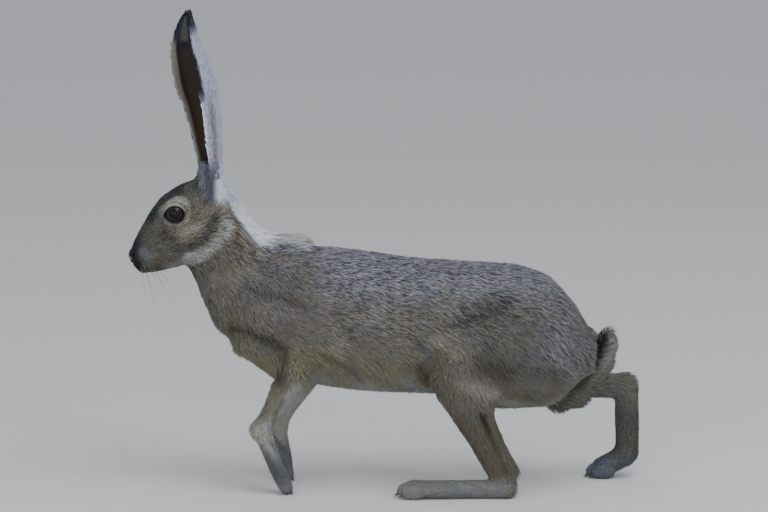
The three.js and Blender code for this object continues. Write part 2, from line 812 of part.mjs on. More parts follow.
// Trunk.
const torsoField = body(core);
add(
  "neck",
  surface(body([...core, ...headBars]), neckGrid)
    .intersect(behind(headNeck))
    .intersect(before(neckTorso))
    .subtract(shoulderOval(-1, gap))
    .subtract(shoulderOval(1, gap)),
);
let torso = surface(torsoField, torsoGrid);
torso = torso.intersect(behind(neckTorso)).intersect(before(torsoRump));
let rump = surface(torsoField, rumpGrid).intersect(behind(torsoRump));
const shankBox = (grow) => block([150 - grow, 24 - grow, -10], [250, 80, 102 + grow]);
for (const side of sides) {
  torso = torso.subtract(shoulderOval(side, gap)).subtract(forearmBlock(side, gap));
  torso = torso.subtract(thighOval(side, gap));
  rump = rump.subtract(thighOval(side, gap));
}
rump = rump.subtract(shankBox(gap));
add("torso", torso);
add("rump", rump);
const tail = surface(body(tailBars), tailGrid);
add("tail", tail.subtract(surface(torsoField, rumpGrid, gap)));

// Legs.
for (const side of sides) {
  const name = side < 0 ? "_left" : "_right";
  const { wrist, toe } = side < 0 ? forelegLeft : forelegRight;
  const [low, high] = side < 0 ? [-64, -8] : [8, 64];
  const pawWay = [toe[0] - wrist[0] - wristLean.back, 0, toe[2] - wrist[2] - wristLean.down];
  const wristCut = [wrist, pawWay];
  const upperGrid = even([-150, low, 84], [-40, high, 222], [9.5, 8.5, 9.5]);
  const upper = surface(coreAndForelegs, upperGrid);
  add("upper_foreleg" + name, upper.intersect(shoulderOval(side, 0)));
  const limb = surface(coreAndForelegs, even([-140, low, 30], [-44, high, 112], limbSteps));
  add(
    "forearm" + name,
    limb
      .intersect(forearmBlock(side, 0))
      .subtract(shoulderOval(side, gap))
      .intersect(before(wristCut)),
  );
  let paw = surface(body(forelegs), even([-134, low, -8], [-76, high, 82], [5.2, 4.4, 7]));
  paw = paw.intersect(behind(wristCut)).intersect(ground);
  const middle = [toe[0] - foreToes.ahead, toe[1], toe[2] + foreToes.above];
  paw = paw.add(toes({ ...foreToes, middle }).intersect(ground));
  add("forepaw" + name, paw);
  const [from, to] = side < 0 ? [-76, -4] : [4, 76];
  const thigh = surface(coreAndHindLegs, even([26, from, 50], [204, to, 206], thighSteps));
  const besideTail = surface(body(tailBars), tailGrid, gap);
  add("thigh" + name, thigh.intersect(thighOval(side, 0)).subtract(besideTail));
}
const shankLeft = surface(coreAndHindLegs, even([34, -70, 4], [140, -22, 104], limbSteps));
add(
  "shank_left",
  shankLeft
    .intersect(block([30, -80, footTop + gap], [150, -20, kneeTop]))
    .subtract(thighOval(-1, gap)),
);
const footLeft = surface(body(hindLegs), even([-2, -70, -8], [134, -24, 32], [8, 4.6, 5]));
add(
  "hind_foot_left",
  footLeft.intersect(block([-10, -80, 0], [150, -20, footTop])).add(toes(nearHindToes).intersect(ground)),
);

const limbRight = surface(coreAndHindLegs, even([136, 14, 50], [246, 70, 118], limbSteps));
add(
  "shank_right",
  limbRight.intersect(shankBox(0)).subtract(thighOval(1, gap)).intersect(before(hockRight)),
);
const footRight = surface(body(hindLegs), even([174, 14, -8], [246, 68, 112], [5.8, 4.6, 8]));
add(
  "hind_foot_right",
  footRight.intersect(behind(hockRight)).intersect(ground).add(toes(farHindToes).intersect(ground)),
);

group.updateMatrixWorld(true);
const bounds = new THREE.Box3().setFromObject(group);
group.position.set(-(bounds.min.x + bounds.max.x) / 2, -(bounds.min.y + bounds.max.y) / 2, -bounds.min.z);
export default group;
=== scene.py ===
"""Black-tailed jackrabbit in mid-stride: one skin, a coat of solid tufts, ears, eyes, lids, whiskers, claws.

Shapes are worked out in the animal's own millimetres (nose toward -X, left side toward -Y, +Z up) and
carried into the part's frame in metres when they become meshes.
"""
import math

import bpy
import numpy as np
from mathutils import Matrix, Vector


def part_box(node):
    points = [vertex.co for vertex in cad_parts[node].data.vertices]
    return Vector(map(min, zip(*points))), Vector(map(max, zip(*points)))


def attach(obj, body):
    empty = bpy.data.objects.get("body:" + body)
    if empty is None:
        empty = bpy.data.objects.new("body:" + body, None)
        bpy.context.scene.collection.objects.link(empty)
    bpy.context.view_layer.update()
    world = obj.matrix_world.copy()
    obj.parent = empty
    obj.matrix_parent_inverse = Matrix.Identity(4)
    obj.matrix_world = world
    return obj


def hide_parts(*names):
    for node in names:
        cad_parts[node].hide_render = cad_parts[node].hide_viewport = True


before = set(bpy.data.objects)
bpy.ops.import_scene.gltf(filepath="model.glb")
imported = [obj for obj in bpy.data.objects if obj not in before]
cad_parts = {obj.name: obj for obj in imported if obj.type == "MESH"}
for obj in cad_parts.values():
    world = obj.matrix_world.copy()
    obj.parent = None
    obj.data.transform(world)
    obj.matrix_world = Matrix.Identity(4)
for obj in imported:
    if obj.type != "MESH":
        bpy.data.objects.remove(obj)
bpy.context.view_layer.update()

# Driving sizes, in millimetres in the animal's own frame, as in the solids.
EYE = np.array([-193.3, 19.2, 259.5])
EYE_RADIUS = 9.5
LID_LONG, LID_HIGH = 8.5, 7.3
EYE_COAT = 1.7
NOSE_TIP = np.array([-237.0, 0.0, 215.0])
SKULL_BACK = np.array([-148.4, 0.0, 261.3])
HEAD_LENGTH = 100.0
TORSO_SPAN = (-135.0, 182.0)
TORSO_MID = 150.0
EAR_TILT = math.radians(42)
SOLE_LEFT, SOLE_RIGHT = -47.0, 41.0
FORELEG = {
    -1: dict(elbow=(-86, -33, 112), wrist=(-117, -30, 60), toe=(-92.5, -30, 4.6)),
    1: dict(elbow=(-69, 33, 110), wrist=(-102.5, 29, 54), toe=(-93, 29, 4.6)),
}
SIDES = (-1, 1)
SIDE_NAME = {-1: "left", 1: "right"}

low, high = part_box("eye_left")
SHIFT = (np.array(low) + np.array(high)) * 500.0 - EYE * (1, -1, 1)


def unit(vectors):
    """Vectors divided by their lengths."""
    return vectors / (np.linalg.norm(vectors, axis=-1, keepdims=True) + 1e-9)


def step(value, start, end):
    """Smooth climb from 0 at start to 1 at end."""
    share = np.clip((value - start) / (end - start), 0, 1)
    return share * share * (3 - 2 * share)


def mirrored(points):
    """Points of the left half carried over to the right, where the marks and folds are given."""
    return points * (1, 0, 1) + np.abs(points) * (0, 1, 0)


def smooth_rows(shares, values, count=97):
    """Curve through the knots by cubic pieces whose slopes never overshoot, sampled evenly."""
    shares, values = np.asarray(shares, float), np.asarray(values, float)
    span = np.diff(shares)
    slope = np.diff(values, axis=0) / span[:, None]
    lean = np.zeros_like(values)
    lean[0], lean[-1] = slope[0], slope[-1]
    same = slope[:-1] * slope[1:] > 0
    lean[1:-1] = np.where(same, 2 * slope[:-1] * slope[1:] / (slope[:-1] + slope[1:] + ~same), 0)
    at = np.linspace(shares[0], shares[-1], count)
    k = np.clip(np.searchsorted(shares, at, side="right") - 1, 0, len(span) - 1)
    q = ((at - shares[k]) / span[k])[:, None]
    rest = 1 - q
    width = span[k][:, None]
    curve = rest * rest * (1 + 2 * q) * values[k] + q * q * (3 - 2 * q) * values[k + 1]
    curve += q * rest * rest * width * lean[k] - q * q * rest * width * lean[k + 1]
    return at, curve.T


class Bar:
    """A rounded bar from a to b: stations give share, rise, half width, depth above and depth below.

    depth is how deep the coat is on it, and lie the way the hair lies at its start and its end.
    """

    def __init__(self, a, b, stations, caps, blend, upward=(0, 0, 1), depth=7.0, lie=None):
        self.start = np.array(a, float)
        self.end = np.array(b, float)
        self.length = np.linalg.norm(self.end - self.start)
        self.along = (self.end - self.start) / self.length
        up = np.array(upward, float)
        self.up = unit(up - self.along * (up @ self.along))
        self.across = np.cross(self.up, self.along)
        table = np.array(stations, float)
        self.shares, self.rows = smooth_rows(table[:, 0], table[:, 1:])
        self.caps, self.blend, self.depth = caps, blend, depth
        lie = lie or (self.along, self.along)
        self.lie = np.array([unit(np.array(way, float)) for way in lie])
        margin = table[:, 2:].max() + max(caps) + blend + abs(table[:, 1]).max()
        self.low = np.minimum(self.start, self.end) - margin
        self.high = np.maximum(self.start, self.end) + margin

    def measure(self, points):
        """How far outside the bar: distance from its middle line less the radius in that direction."""
        offset = points - self.start
        u = offset @ self.along / self.length
        t = np.clip(u, self.shares[0], self.shares[-1])
        rise, wide, over, under = (np.interp(t, self.shares, row) for row in self.rows)
        side = offset @ self.across
        height = offset @ self.up - rise
        beyond = (u - t) * self.length
        cap = np.where(beyond < 0, self.caps[0], self.caps[1])
        tall = np.where(height > 0, over, under)
        share = np.sqrt((side / wide) ** 2 + (height / tall) ** 2 + (beyond / cap) ** 2) + 1e-6
        far = np.sqrt(side**2 + height**2 + beyond**2) + 1e-6
        return far - far / share, t


def torso_stations(rows):
    """Stations from place along the body, underside, back and half width."""
    return [
        ((x - TORSO_SPAN[0]) / (TORSO_SPAN[1] - TORSO_SPAN[0]), (low + high) / 2 - TORSO_MID, wide,
         (high - low) / 2, (high - low) / 2)
        for x, low, high, wide in rows
    ]


HEAD_ALONG = unit(SKULL_BACK - NOSE_TIP)
HEAD_UP = np.array([-HEAD_ALONG[2], 0, HEAD_ALONG[0]])


def on_head(back, side, rise):
    """A point of the head: back from the nose, sideways, and up from the head's own line."""
    return tuple(NOSE_TIP + HEAD_ALONG * back + HEAD_UP * rise + np.array([0, side, 0]))


def trunk_bars():
    """Torso, withers, neck, chest and haunches."""
    torso = torso_stations([
        (-135, 140, 205, 27), (-110, 116, 222, 35), (-75, 99, 228, 41), (-30, 92, 223.5, 45),
        (20, 89.5, 216.5, 47.5), (70, 87, 213, 47), (110, 84, 210.5, 47), (140, 84, 202.5, 45),
        (165, 92, 180, 39), (182, 102, 154, 29),
    ])
    back = ((1, 0, -0.12), (0.75, 0, -0.75))
    down = ((0.62, 0, -0.78), (0.75, 0, -0.66))
    bars = [
        Bar((TORSO_SPAN[0], 0, TORSO_MID), (TORSO_SPAN[1], 0, TORSO_MID), torso, (24, 10), 10, depth=4.6,
            lie=back),
        Bar((-118, 0, 224), (-88, 0, 225), [(0, 0, 17, 15.5, 22), (1, 0, 18, 13, 22)], (18, 17), 11,
            depth=5.3, lie=((1, 0, -0.1), (1, 0, -0.15))),
        Bar((-156, 0, 270), (-134, 0, 233), [(0, 0, 15, 15, 14), (1, 0, 20, 16, 14)], (10, 10), 14,
            (0.84, 0, 0.55),
            depth=5.9, lie=((0.5, 0, -0.85), (0.72, 0, -0.68))),
        Bar((-163, 0, 240), (-122, 0, 186), [(0, 0, 24, 31, 30), (0.5, 0, 27, 37, 36), (1, 0, 32, 44, 44)],
            (14, 22), 16, (0.6, 0, 0.5), depth=5.3, lie=down),
        Bar((-159, 0, 180), (-128, 0, 146), [(0, 0, 17, 14, 8), (0.5, 0, 22, 18, 12), (1, 0, 24, 18, 12.5)],
            (11, 18), 14, (0.6, 0, 0.5), depth=4.6, lie=((0.5, 0, -0.85), (0.6, 0, -0.8))),
        Bar((-176, 0, 222), (-160, 0, 196), [(0, 0, 17, 12, 12), (1, 0, 20, 14, 13)], (10, 10), 12,
            (0.8, 0, 0.6),
            depth=3.6, lie=((0.6, 0, -0.75), (0.5, 0, -0.85))),
    ]
    for side in SIDES:
        elbow = FORELEG[side]["elbow"]
        slope = ((0.72, 0, -0.7), (0.45, 0, -0.9))
        bars.append(Bar((-92, 24 * side, 202), (-126, 27 * side, 150),
                        [(0, 0, 14, 20, 22), (0.5, 0, 17, 24, 26), (1, 0, 16, 20, 22)],
                        (16, 14), 18, (-0.8, 0, 0.6), depth=4.3, lie=slope))
        bars.append(Bar((-124, 29 * side, 148), elbow, [(0, 0, 14, 19, 20), (1, 0, 11.5, 14, 14)],
                        (10, 9), 16, depth=4, lie=((0.5, 0, -0.87), (0.35, 0, -0.94))))
    for side in SIDES:
        bars.append(Bar((104, 29 * side, 136), (134, 29 * side, 136),
                        [(0, 0, 22, 48, 55), (1, 0, 22, 46, 54)],
                        (48, 40), 24, depth=4.6, lie=((0.86, 0, -0.5), (0.7, 0, -0.7))))
    knee = ((0.5, 0, -0.86), (0.3, 0, -0.95))
    bars.append(Bar((104, -37, 124), (62, -44, 113), [(0, 0, 19, 34, 30), (1, 0, 15, 19, 21)], (24, 14), 22,
                    depth=4.3, lie=knee))
    bars.append(Bar((120, 36, 120), (98, 42, 94), [(0, 0, 19, 30, 30), (1, 0, 15, 20, 22)], (24, 14), 22,
                    (1, 0, 0.3), depth=4.3, lie=((0.7, 0, -0.7), (0.9, 0, -0.4))))
    return bars


def head_bars():
    """Skull, muzzle pads, cheeks, brows, ear bases and chin."""
    rows = [(5, 6, -9, 8, -2), (13, 13, -18.5, 12.5, -4), (26, 22, -23, 16.5, -2), (41, 31, -25, 20.5, 1),
            (56, 37, -26.5, 23.5, 3), (72, 38.6, -28.5, 24.5, 4), (88, 37, -29, 24, 4)]
    skull = [(back / HEAD_LENGTH, mid, wide, top - mid, mid - low) for back, top, low, wide, mid in rows]
    swept = ((0.9, 0, 0.35), (0.97, 0, 0.1))
    bars = [Bar(tuple(NOSE_TIP), tuple(SKULL_BACK), skull, (5, 16), 16, depth=2.1)]
    for s in SIDES:
        bars.append(Bar(on_head(9, 6.5 * s, -8), on_head(22, 10 * s, -10),
                        [(0, 0, 7, 8, 7.5), (1, 0, 8.5, 10, 10.5)], (6, 9), 7, depth=1.4, lie=swept))
        bars.append(Bar(on_head(40, 11 * s, -9), on_head(66, 14 * s, -7),
                        [(0, 0, 9.5, 13, 13), (1, 0, 11.5, 15, 17)], (14, 16), 12, depth=2.7, lie=swept))
        bars.append(Bar(on_head(52, 13.5 * s, 20), on_head(64, 14.5 * s, 20.5),
                        [(0, 0, 11, 12, 12), (1, 0, 11, 12, 12)], (9, 10), 9, depth=1.6))
        bars.append(Bar((-164, 12.5 * s, 262), (-162, 14.5 * s, 281),
                        [(0, 0, 13, 15, 14), (1, 0, 11.5, 12.5, 14)],
                        (14, 7), 12, (1, 0, 0), depth=2.1, lie=((0.75, 0, 0.6), (0.1, 0, 1))))
    bars.append(Bar(on_head(8, 0, -12.5), on_head(34, 0, -16.5), [(0, 0, 6, 6, 5.5), (1, 0, 12, 8, 8)],
                    (5, 12), 8,
                    depth=1.6))
    for s in SIDES:
        bars.append(Bar((-163, 13.5 * s, 268), (-161.5, 16 * s, 303),
                        [(0, 0, 13, 14, 15), (0.5, 0, 11.4, 11.8, 13.4), (1, 0, 10.2, 10.4, 10.6)],
                        (8, 3), 6, (1, 0, 0), depth=1.5, lie=((0.2, 0, 1), (0, 0, 1))))
    return bars


def leg_bars():
    """Forearms, forepaws, shanks and hind feet."""
    bars = []
    for side in SIDES:
        leg = FORELEG[side]
        bars.append(Bar(leg["elbow"], leg["wrist"],
                        [(0, 0, 11.5, 15, 15), (0.35, 0, 10, 12.5, 12), (0.75, 0, 8, 9, 8.5),
                         (1, 0, 8.5, 8.5, 8.5)],
                        (9, 7), 12, (1, 0, 0), depth=2.5))
        bars.append(Bar(leg["wrist"], leg["toe"],
                        [(0, 0, 8.5, 8.5, 8), (0.35, 0, 8.2, 7.5, 7.2), (0.7, 0, 8.8, 7.2, 7.6),
                         (0.9, 0, 8.4, 6, 7)],
                        (7, 3), 8, (1, 0, 0), depth=2))
    bars.append(Bar((61, -45, 112), (109, SOLE_LEFT, 22),
                    [(0, 0, 14, 24, 22), (0.3, 0, 12, 20, 20.5), (0.6, 0, 9.5, 14.5, 17.5),
                     (0.85, 0, 8.5, 13, 16.5),
                     (1, 0, 9, 13.5, 15)], (12, 8), 18, (1, 0, 0), depth=2.8))
    bars.append(Bar((110, SOLE_LEFT, 9), (26, SOLE_LEFT, 7.5),
                    [(0, 0, 9.5, 9.5, 10), (0.3, 0, 9, 8.5, 9.5), (0.7, 0, 11, 8.5, 8.5),
                     (1, 0, 11.5, 9.5, 8.5)],
                    (11, 8), 10, depth=2.1))
    bars.append(Bar((98, 42, 92), (222, SOLE_RIGHT, 87),
                    [(0, 0, 15, 24, 20), (0.35, 0, 13, 18, 17), (0.8, 0, 9.5, 12.5, 12.5), (1, 0, 9, 12, 12)],
                    (14, 10), 18, depth=2.8))
    bars.append(Bar((224, SOLE_RIGHT, 90), (226, SOLE_RIGHT, 26),
                    [(0, 0, 9, 11.5, 11.5), (0.5, 0, 8.5, 12, 11.5), (1, 0, 10, 11, 11)], (9, 9), 8,
                    (1, 0, 0),
                    depth=2.4))
    bars.append(Bar((223, SOLE_RIGHT, 20), (203, SOLE_RIGHT, 10),
                    [(0, 0, 11, 11, 10), (1, 0, 11.5, 9.5, 10.5)],
                    (10, 8), 8, depth=2.1))
    return bars


def tail_bars():
    """The tail, curled up behind the rump: middle line and half thickness."""
    rows = [(140, 97, 10, 10), (158, 84.5, 11.5, 12), (174.5, 88.5, 12.3, 12.5), (186.5, 101.5, 12.5, 12.5),
            (195.5, 117, 12, 12), (200.5, 132, 10.5, 10), (202.3, 145, 7, 7)]
    bars = []
    for i, (one, two) in enumerate(zip(rows, rows[1:])):
        last = 8 if i == len(rows) - 2 else two[3]
        bars.append(Bar((one[0], 0, one[1]), (two[0], 0, two[1]),
                        [(0, 0, one[2], one[3], one[3]), (1, 0, two[2], two[3], two[3])],
                        (one[3], last), 10, (0.3, 0, 1) if i < 2 else (1, 0, 0), depth=6))
    return bars


BODY = trunk_bars() + head_bars() + leg_bars()
TAIL = tail_bars()
LIPS = np.array([(4.6, -11.2), (7, -12.4), (10, -13.9), (14, -15.7), (18.5, -17.2), (22.5, -18.2)])
NOSTRIL = np.array([(2.4, -5), (2.9, -2.4), (4, 0), (6, 1.6)])


def near_line(u, w, line):
    """Distance in a plane from points (u, w) to a line of points."""
    best = np.full(u.shape, 1e3)
    for (u0, w0), (u1, w1) in zip(line[:-1], line[1:]):
        du, dw = u1 - u0, w1 - w0
        t = np.clip(((u - u0) * du + (w - w0) * dw) / (du * du + dw * dw), 0, 1)
        best = np.minimum(best, np.hypot(u - u0 - t * du, w - w0 - t * dw))
    return best


def head_place(points):
    """Back from the nose, sideways distance, and rise above the head's line."""
    offset = points - NOSE_TIP
    return offset @ HEAD_ALONG, np.abs(points[..., 1]), offset @ HEAD_UP


def join(value, other, blend):
    """Smaller of two distances, rounded where they are within the blend of each other."""
    near = np.maximum(blend - np.abs(value - other), 0) / blend
    return np.minimum(value, other) - near * near * blend / 4


# Folds of the flanks, as places along the body and up: lines, reach, dip and how much painted shade lies in
# them.
FOLDS = [
    ([(-143, 158), (-126, 155), (-110, 147), (-95, 136), (-95, 121), (-99, 110)], 9, 2.6, 0.42),
    ([(-136, 193), (-114, 191), (-92, 184), (-78, 176)], 8, 1.3, 0.24),
    ([(-128, 214), (-106, 206), (-84, 200)], 7, 0.9, 0.16),
    ([(-52, 172), (-40, 158), (-33, 146)], 8, 1.0, 0.15),
    ([(-62, 132), (-38, 122), (-26, 112)], 6, 1.0, 0.22),
    ([(28, 124), (34, 112), (42, 100)], 9, 2.2, 0.30),
    ([(24, 146), (30, 140)], 6, 0.8, 0.25),
    ([(48, 155), (74, 166), (104, 177)], 12, 1.6, 0.26),
    ([(80, 126), (112, 124), (150, 116)], 15, 0.6, 0.20),
]
# Ridges, in the same columns, but raised, with painted light along them in place of shade.
RIDGES = [
    ([(31, 138), (46, 151), (60, 153)], 8, 1.3, 0.30),
    ([(-117, 176), (-100, 172), (-88, 168)], 10, 1.2, 0.14),
    ([(66, 112), (80, 104), (98, 100)], 10, 0.6, 0.20),
    ([(-52, 142), (-46, 134)], 5, 0.4, 0.28),
    ([(160, 124), (166, 116)], 3.5, 0.2, 0.45),
]


def fold_marks(points, lines):
    """Summed dip and painted shading of a list of folds, which count only on the sides of the body: shade for
    folds, light for ridges.
    """
    side = step(np.abs(points[..., 1]), 14, 30)
    dip = np.zeros(points.shape[:-1])
    dark = np.zeros(points.shape[:-1])
    for line, reach, depth, painted_shading in lines:
        far = near_line(points[..., 0], points[..., 2], np.array(line, float))
        share = np.exp(-((far / reach * 1.7) ** 2)) * side
        dip += share * depth
        dark += share * painted_shading
    return dip, dark


def carve(points, value):
    """Floor under the soles, eye sockets, line of the mouth, nostrils and the cleft of the lip."""
    value = np.maximum(value, 0.5 - points[..., 2])
    near_side = mirrored(points)
    value = np.maximum(value, EYE_RADIUS + 0.15 - np.linalg.norm(near_side - EYE, axis=-1))
    back, side, rise = head_place(points)
    mouth = near_line(back, rise, LIPS)
    value = value + 1.5 * np.exp(-((mouth / 0.85) ** 2)) * (back < 26)
    nostril = near_line(back, rise, NOSTRIL)
    value = value + 1.9 * np.exp(-((nostril / 1.1) ** 2)) * step(side, 1.6, 3.2)
    cleft = np.exp(-((side / 0.7) ** 2)) * step(rise, -14, -11) * (1 - step(rise, -3, 0)) * (back < 8)
    value = value + fold_marks(points, FOLDS)[0] - fold_marks(points, RIDGES)[0]
    return value + 1.1 * cleft


def skin_at(points, bars_too=False):
    """Skin's distance at points: bars joined, the coat's depth taken off, then the carving.

    With bars_too, also the coat's depth and the way the hair lies, both shared among the bars by nearness.
    """
    body = np.full(len(points), 60.0)
    tail = np.full(len(points), 60.0)
    weight = np.full(len(points), 1e-9)
    depth = np.zeros(len(points))
    lie = np.zeros((len(points), 3))
    for bars, total in ((BODY, body), (TAIL, tail)):
        for bar in bars:
            near = np.flatnonzero(np.all((points > bar.low) & (points < bar.high), axis=1))
            if not len(near):
                continue
            far, t = bar.measure(points[near])
            total[near] = join(total[near], far, bar.blend)
            share = np.exp(-np.clip(far, -40, 40) / 5)
            weight[near] += share
            depth[near] += share * bar.depth
            if bars_too:
                way = bar.lie[0] + (bar.lie[1] - bar.lie[0]) * t[:, None]
                lie[near] += share[:, None] * way
    depth /= weight
    value = carve(points, np.minimum(body, tail) + depth)
    return (value, depth, unit(lie)) if bars_too else value


def skin_on_grid(ticks):
    """The same distance on a grid with uneven ticks, each bar worked out only in its own box."""
    shape = tuple(len(t) for t in ticks)
    fields = [np.full(shape, 60.0, np.float32) for _ in range(2)]
    weight = np.full(shape, 1e-9, np.float32)
    depth = np.zeros(shape, np.float32)
    for bars, total in ((BODY, fields[0]), (TAIL, fields[1])):
        for bar in bars:
            box = tuple(slice(np.searchsorted(t, bar.low[k]), np.searchsorted(t, bar.high[k]))
                        for k, t in enumerate(ticks))
            if any(s.stop <= s.start for s in box):
                continue
            points = np.stack(np.meshgrid(*(t[s] for t, s in zip(ticks, box)), indexing="ij"), -1)
            far, _ = bar.measure(points)
            total[box] = join(total[box], far, bar.blend)
            share = np.exp(-np.clip(far, -40, 40) / 5)
            weight[box] += share
            depth[box] += share * bar.depth
    value = np.minimum(*fields) + depth / weight
    points = np.stack(np.meshgrid(*ticks, indexing="ij"), -1)
    return carve(points, value)


def spaced(stops, steps):
    """Ticks between the stops, in even steps of about the sizes given."""
    parts = [np.linspace(a, b, max(1, round((b - a) / s)), endpoint=False)
             for a, b, s in zip(stops, stops[1:], steps)]
    return np.concatenate(parts + [[stops[-1]]])


def surface_nets(values, ticks):
    """One vertex per cell that the surface crosses, at the mean of its edge crossings, and quads between."""
    inside = values < 0
    strides = np.array([values.shape[1] * values.shape[2], values.shape[2], 1])
    owners, places, rings = [], [], []
    for axis in range(3):
        first = tuple(slice(0, -1) if k == axis else slice(None) for k in range(3))
        second = tuple(slice(1, None) if k == axis else slice(None) for k in range(3))
        crossing = inside[first] != inside[second]
        index = np.argwhere(crossing)
        a, b = values[first][crossing], values[second][crossing]
        place = np.stack([ticks[k][index[:, k]] for k in range(3)], 1)
        run = ticks[axis][index[:, axis] + 1] - ticks[axis][index[:, axis]]
        place[:, axis] += a / (a - b) * run
        ring = []
        for one, two in ((1, 1), (0, 1), (0, 0), (1, 0)):
            cell = index.copy()
            cell[:, (axis + 1) % 3] -= one
            cell[:, (axis + 2) % 3] -= two
            ring.append(cell @ strides)
            owners.append(ring[-1])
            places.append(place)
        ring = np.stack(ring, 1)
        outward = inside[first][crossing]
        ring[~outward] = ring[~outward][:, ::-1]
        rings.append(ring)
    owners, places = np.concatenate(owners), np.concatenate(places)
    cells, number = np.unique(owners, return_inverse=True)
    count = np.bincount(number)
    vertices = np.stack([np.bincount(number, places[:, k]) / count for k in range(3)], 1)
    return vertices, np.searchsorted(cells, np.concatenate(rings))


def slope_of(value, points, probe=0.25):
    """Value at the points, and its slope by small steps along each axis."""
    here = value(points)
    slope = np.stack([(value(points + probe * np.eye(3)[k]) - here) / probe for k in range(3)], 1)
    return here, slope


def settle(value, points, rings, rounds=2):
    """Evens out the spacing: each point moves toward its neighbours' middle, then back onto the surface."""
    ends = np.concatenate([rings[:, (0, 1)], rings[:, (1, 2)], rings[:, (2, 3)], rings[:, (3, 0)]])
    for _ in range(rounds):
        count = np.bincount(ends.ravel(), minlength=len(points))
        middle = np.stack([
            (np.bincount(ends[:, 0], points[ends[:, 1], k], len(points))
             + np.bincount(ends[:, 1], points[ends[:, 0], k], len(points))) / count
            for k in range(3)], 1)
        points = 0.5 * points + 0.5 * middle
        here, slope = slope_of(value, points)
        move = -here[:, None] * slope / ((slope**2).sum(1, keepdims=True) + 0.05)
        points = points + np.clip(move, -1.2, 1.2)
    return points


def triangles_of(rings):
    """Two triangles for every quad."""
    return np.concatenate([rings[:, (0, 1, 2)], rings[:, (0, 2, 3)]])


def vertex_normals(points, faces):
    """Area-weighted normals of a triangle mesh."""
    normal = np.cross(points[faces[:, 1]] - points[faces[:, 0]], points[faces[:, 2]] - points[faces[:, 0]])
    total = np.stack([np.bincount(faces.ravel(), np.repeat(normal[:, k], 3), len(points)) for k in range(3)],
                     1)
    return unit(total)


# Colours of the coat, as seen in soft light, in 0 to 255. LIFT is the share of the light that a surface
# has to send back, over what is seen of it under the lamps set below.
LIFT = 1.4


def shade(red, green, blue):
    """A seen colour as the linear light that the surface sends back."""
    value = np.array([red, green, blue]) / 255.0
    return np.where(value <= 0.04045, value / 12.92, ((value + 0.055) / 1.055) ** 2.4) * LIFT


COLOURS = {
    # back: bluish tint painted skylight over its own grizzled grey; low_flank: warm buff partly painted light
    # from below
    "back": shade(107, 107, 118), "flank": shade(98, 95, 90), "low_flank": shade(107, 103, 88),
    "belly": shade(131, 133, 130), "nape": shade(212, 224, 245), "ridge": shade(154, 156, 158),
    "shoulder": shade(93, 89, 87), "chest": shade(95, 92, 84), "neck": shade(108, 103, 93),
    "rust": shade(104, 90, 62), "buff": shade(108, 103, 86), "haunch": shade(81, 80, 76),
    "thigh": shade(94, 90, 80), "thigh_pale": shade(104, 101, 93), "haunch_low": shade(88, 86, 76),
    "cheek": shade(84, 82, 74), "muzzle": shade(75, 73, 68), "profile": shade(43, 44, 48),
    "crown": shade(70, 70, 70), "jaw": shade(147, 147, 145), "chin": shade(94, 92, 85),
    "lip": shade(76, 75, 69), "nose": shade(38, 40, 44), "pad": shade(88, 88, 91),
    "whisker_spot": shade(80, 75, 62), "dark": shade(48, 46, 44), "cream": shade(140, 138, 132),
    "behind_eye": shade(112, 107, 96), "before_eye": shade(103, 103, 103), "rim": shade(20, 18, 18),
    # the colour of the shank's groove is painted shade
    "shank": shade(86, 82, 71), "groove_shade": shade(44, 40, 35), "far_leg": shade(94, 93, 87),
    "far_hock": shade(76, 75, 71), "far_foot": shade(82, 86, 95), "foot": shade(110, 111, 110),
    "forearm": shade(113, 109, 98), "inner_leg": shade(146, 146, 141), "wrist": shade(146, 145, 141),
    "paw": shade(100, 102, 106), "black": shade(24, 25, 29), "fringe": shade(108, 107, 104),
    # the ear's inside colour is dark brown, darkened partly as painted shade within the cup
    "fringe_low": shade(84, 82, 75), "ear_back": shade(146, 150, 170), "ear_streak": shade(110, 99, 101),
    "ear_inside": shade(44, 37, 31), "ear_deep": shade(62, 50, 41), "ear_tip": shade(72, 67, 68),
    "white": shade(184, 190, 204), "bluish": shade(38, 41, 54), "ear_base": shade(66, 70, 82),
    "olive": shade(96, 92, 78),
    # The colour of the fold strokes is painted shade; the pale light colour also serves for a painted
    # highlight on the low flank.
    "rust_dark": shade(80, 66, 48), "fold_shade": shade(72, 71, 75), "light": shade(126, 122, 112),
    "brown": shade(70, 67, 60), "cheek_warm": shade(98, 91, 74), "line": shade(64, 58, 50),
}


def spot(points, place, radii):
    """Soft spot, 1 in the middle and 0 at the radii, the same on both sides of the body."""
    near_side = mirrored(points)
    far = np.linalg.norm((near_side - np.array(place)) / np.array(radii), axis=1)
    return 1 - step(far, 0.55, 1.0)


def band(points, ends, radius, soft=0.5, sideways=True):
    """Soft band along a line on both sides of the body; without sideways, at any place across it."""
    a, b = (np.array(e, float) for e in ends)
    near_side = mirrored(points)
    keep = np.array([1, 1 if sideways else 0, 1])
    a, b, near_side = a * keep, b * keep, near_side * keep
    t = np.clip((near_side - a) @ (b - a) / ((b - a) @ (b - a)), 0, 1)
    far = np.linalg.norm(near_side - a - t[:, None] * (b - a), axis=1)
    return 1 - step(far, radius * soft, radius)


def wander(points, size, seed):
    """Slow random patches between -1 and 1: a sum of sine waves in random directions."""
    rng = np.random.default_rng(seed)
    total = np.zeros(len(points))
    for _ in range(7):
        way = unit(rng.normal(size=3)) * rng.uniform(0.7, 1.5) * 2 * math.pi / size
        total += np.sin(points @ way + rng.uniform(0, 6.28))
    return total / 3.2


def mix(colour, other, share):
    """Colours moved toward another by a share for each point."""
    return colour + (other - colour) * np.clip(share, 0, 1)[:, None]


def paint(colour, places, marks, share):
    """Lays marks over the colours. Each is a soft-edged stroke along a line on the side as it is seen from
    a little above: (colour, line, reach, strength). Share says where marks may lie at all."""
    for name, line, reach, strength in marks:
        far = near_line(places[0], places[1], np.array(line, float))
        colour = mix(colour, COLOURS[name], strength * share * (1 - step(far, 0.35 * reach, reach)))
    return colour


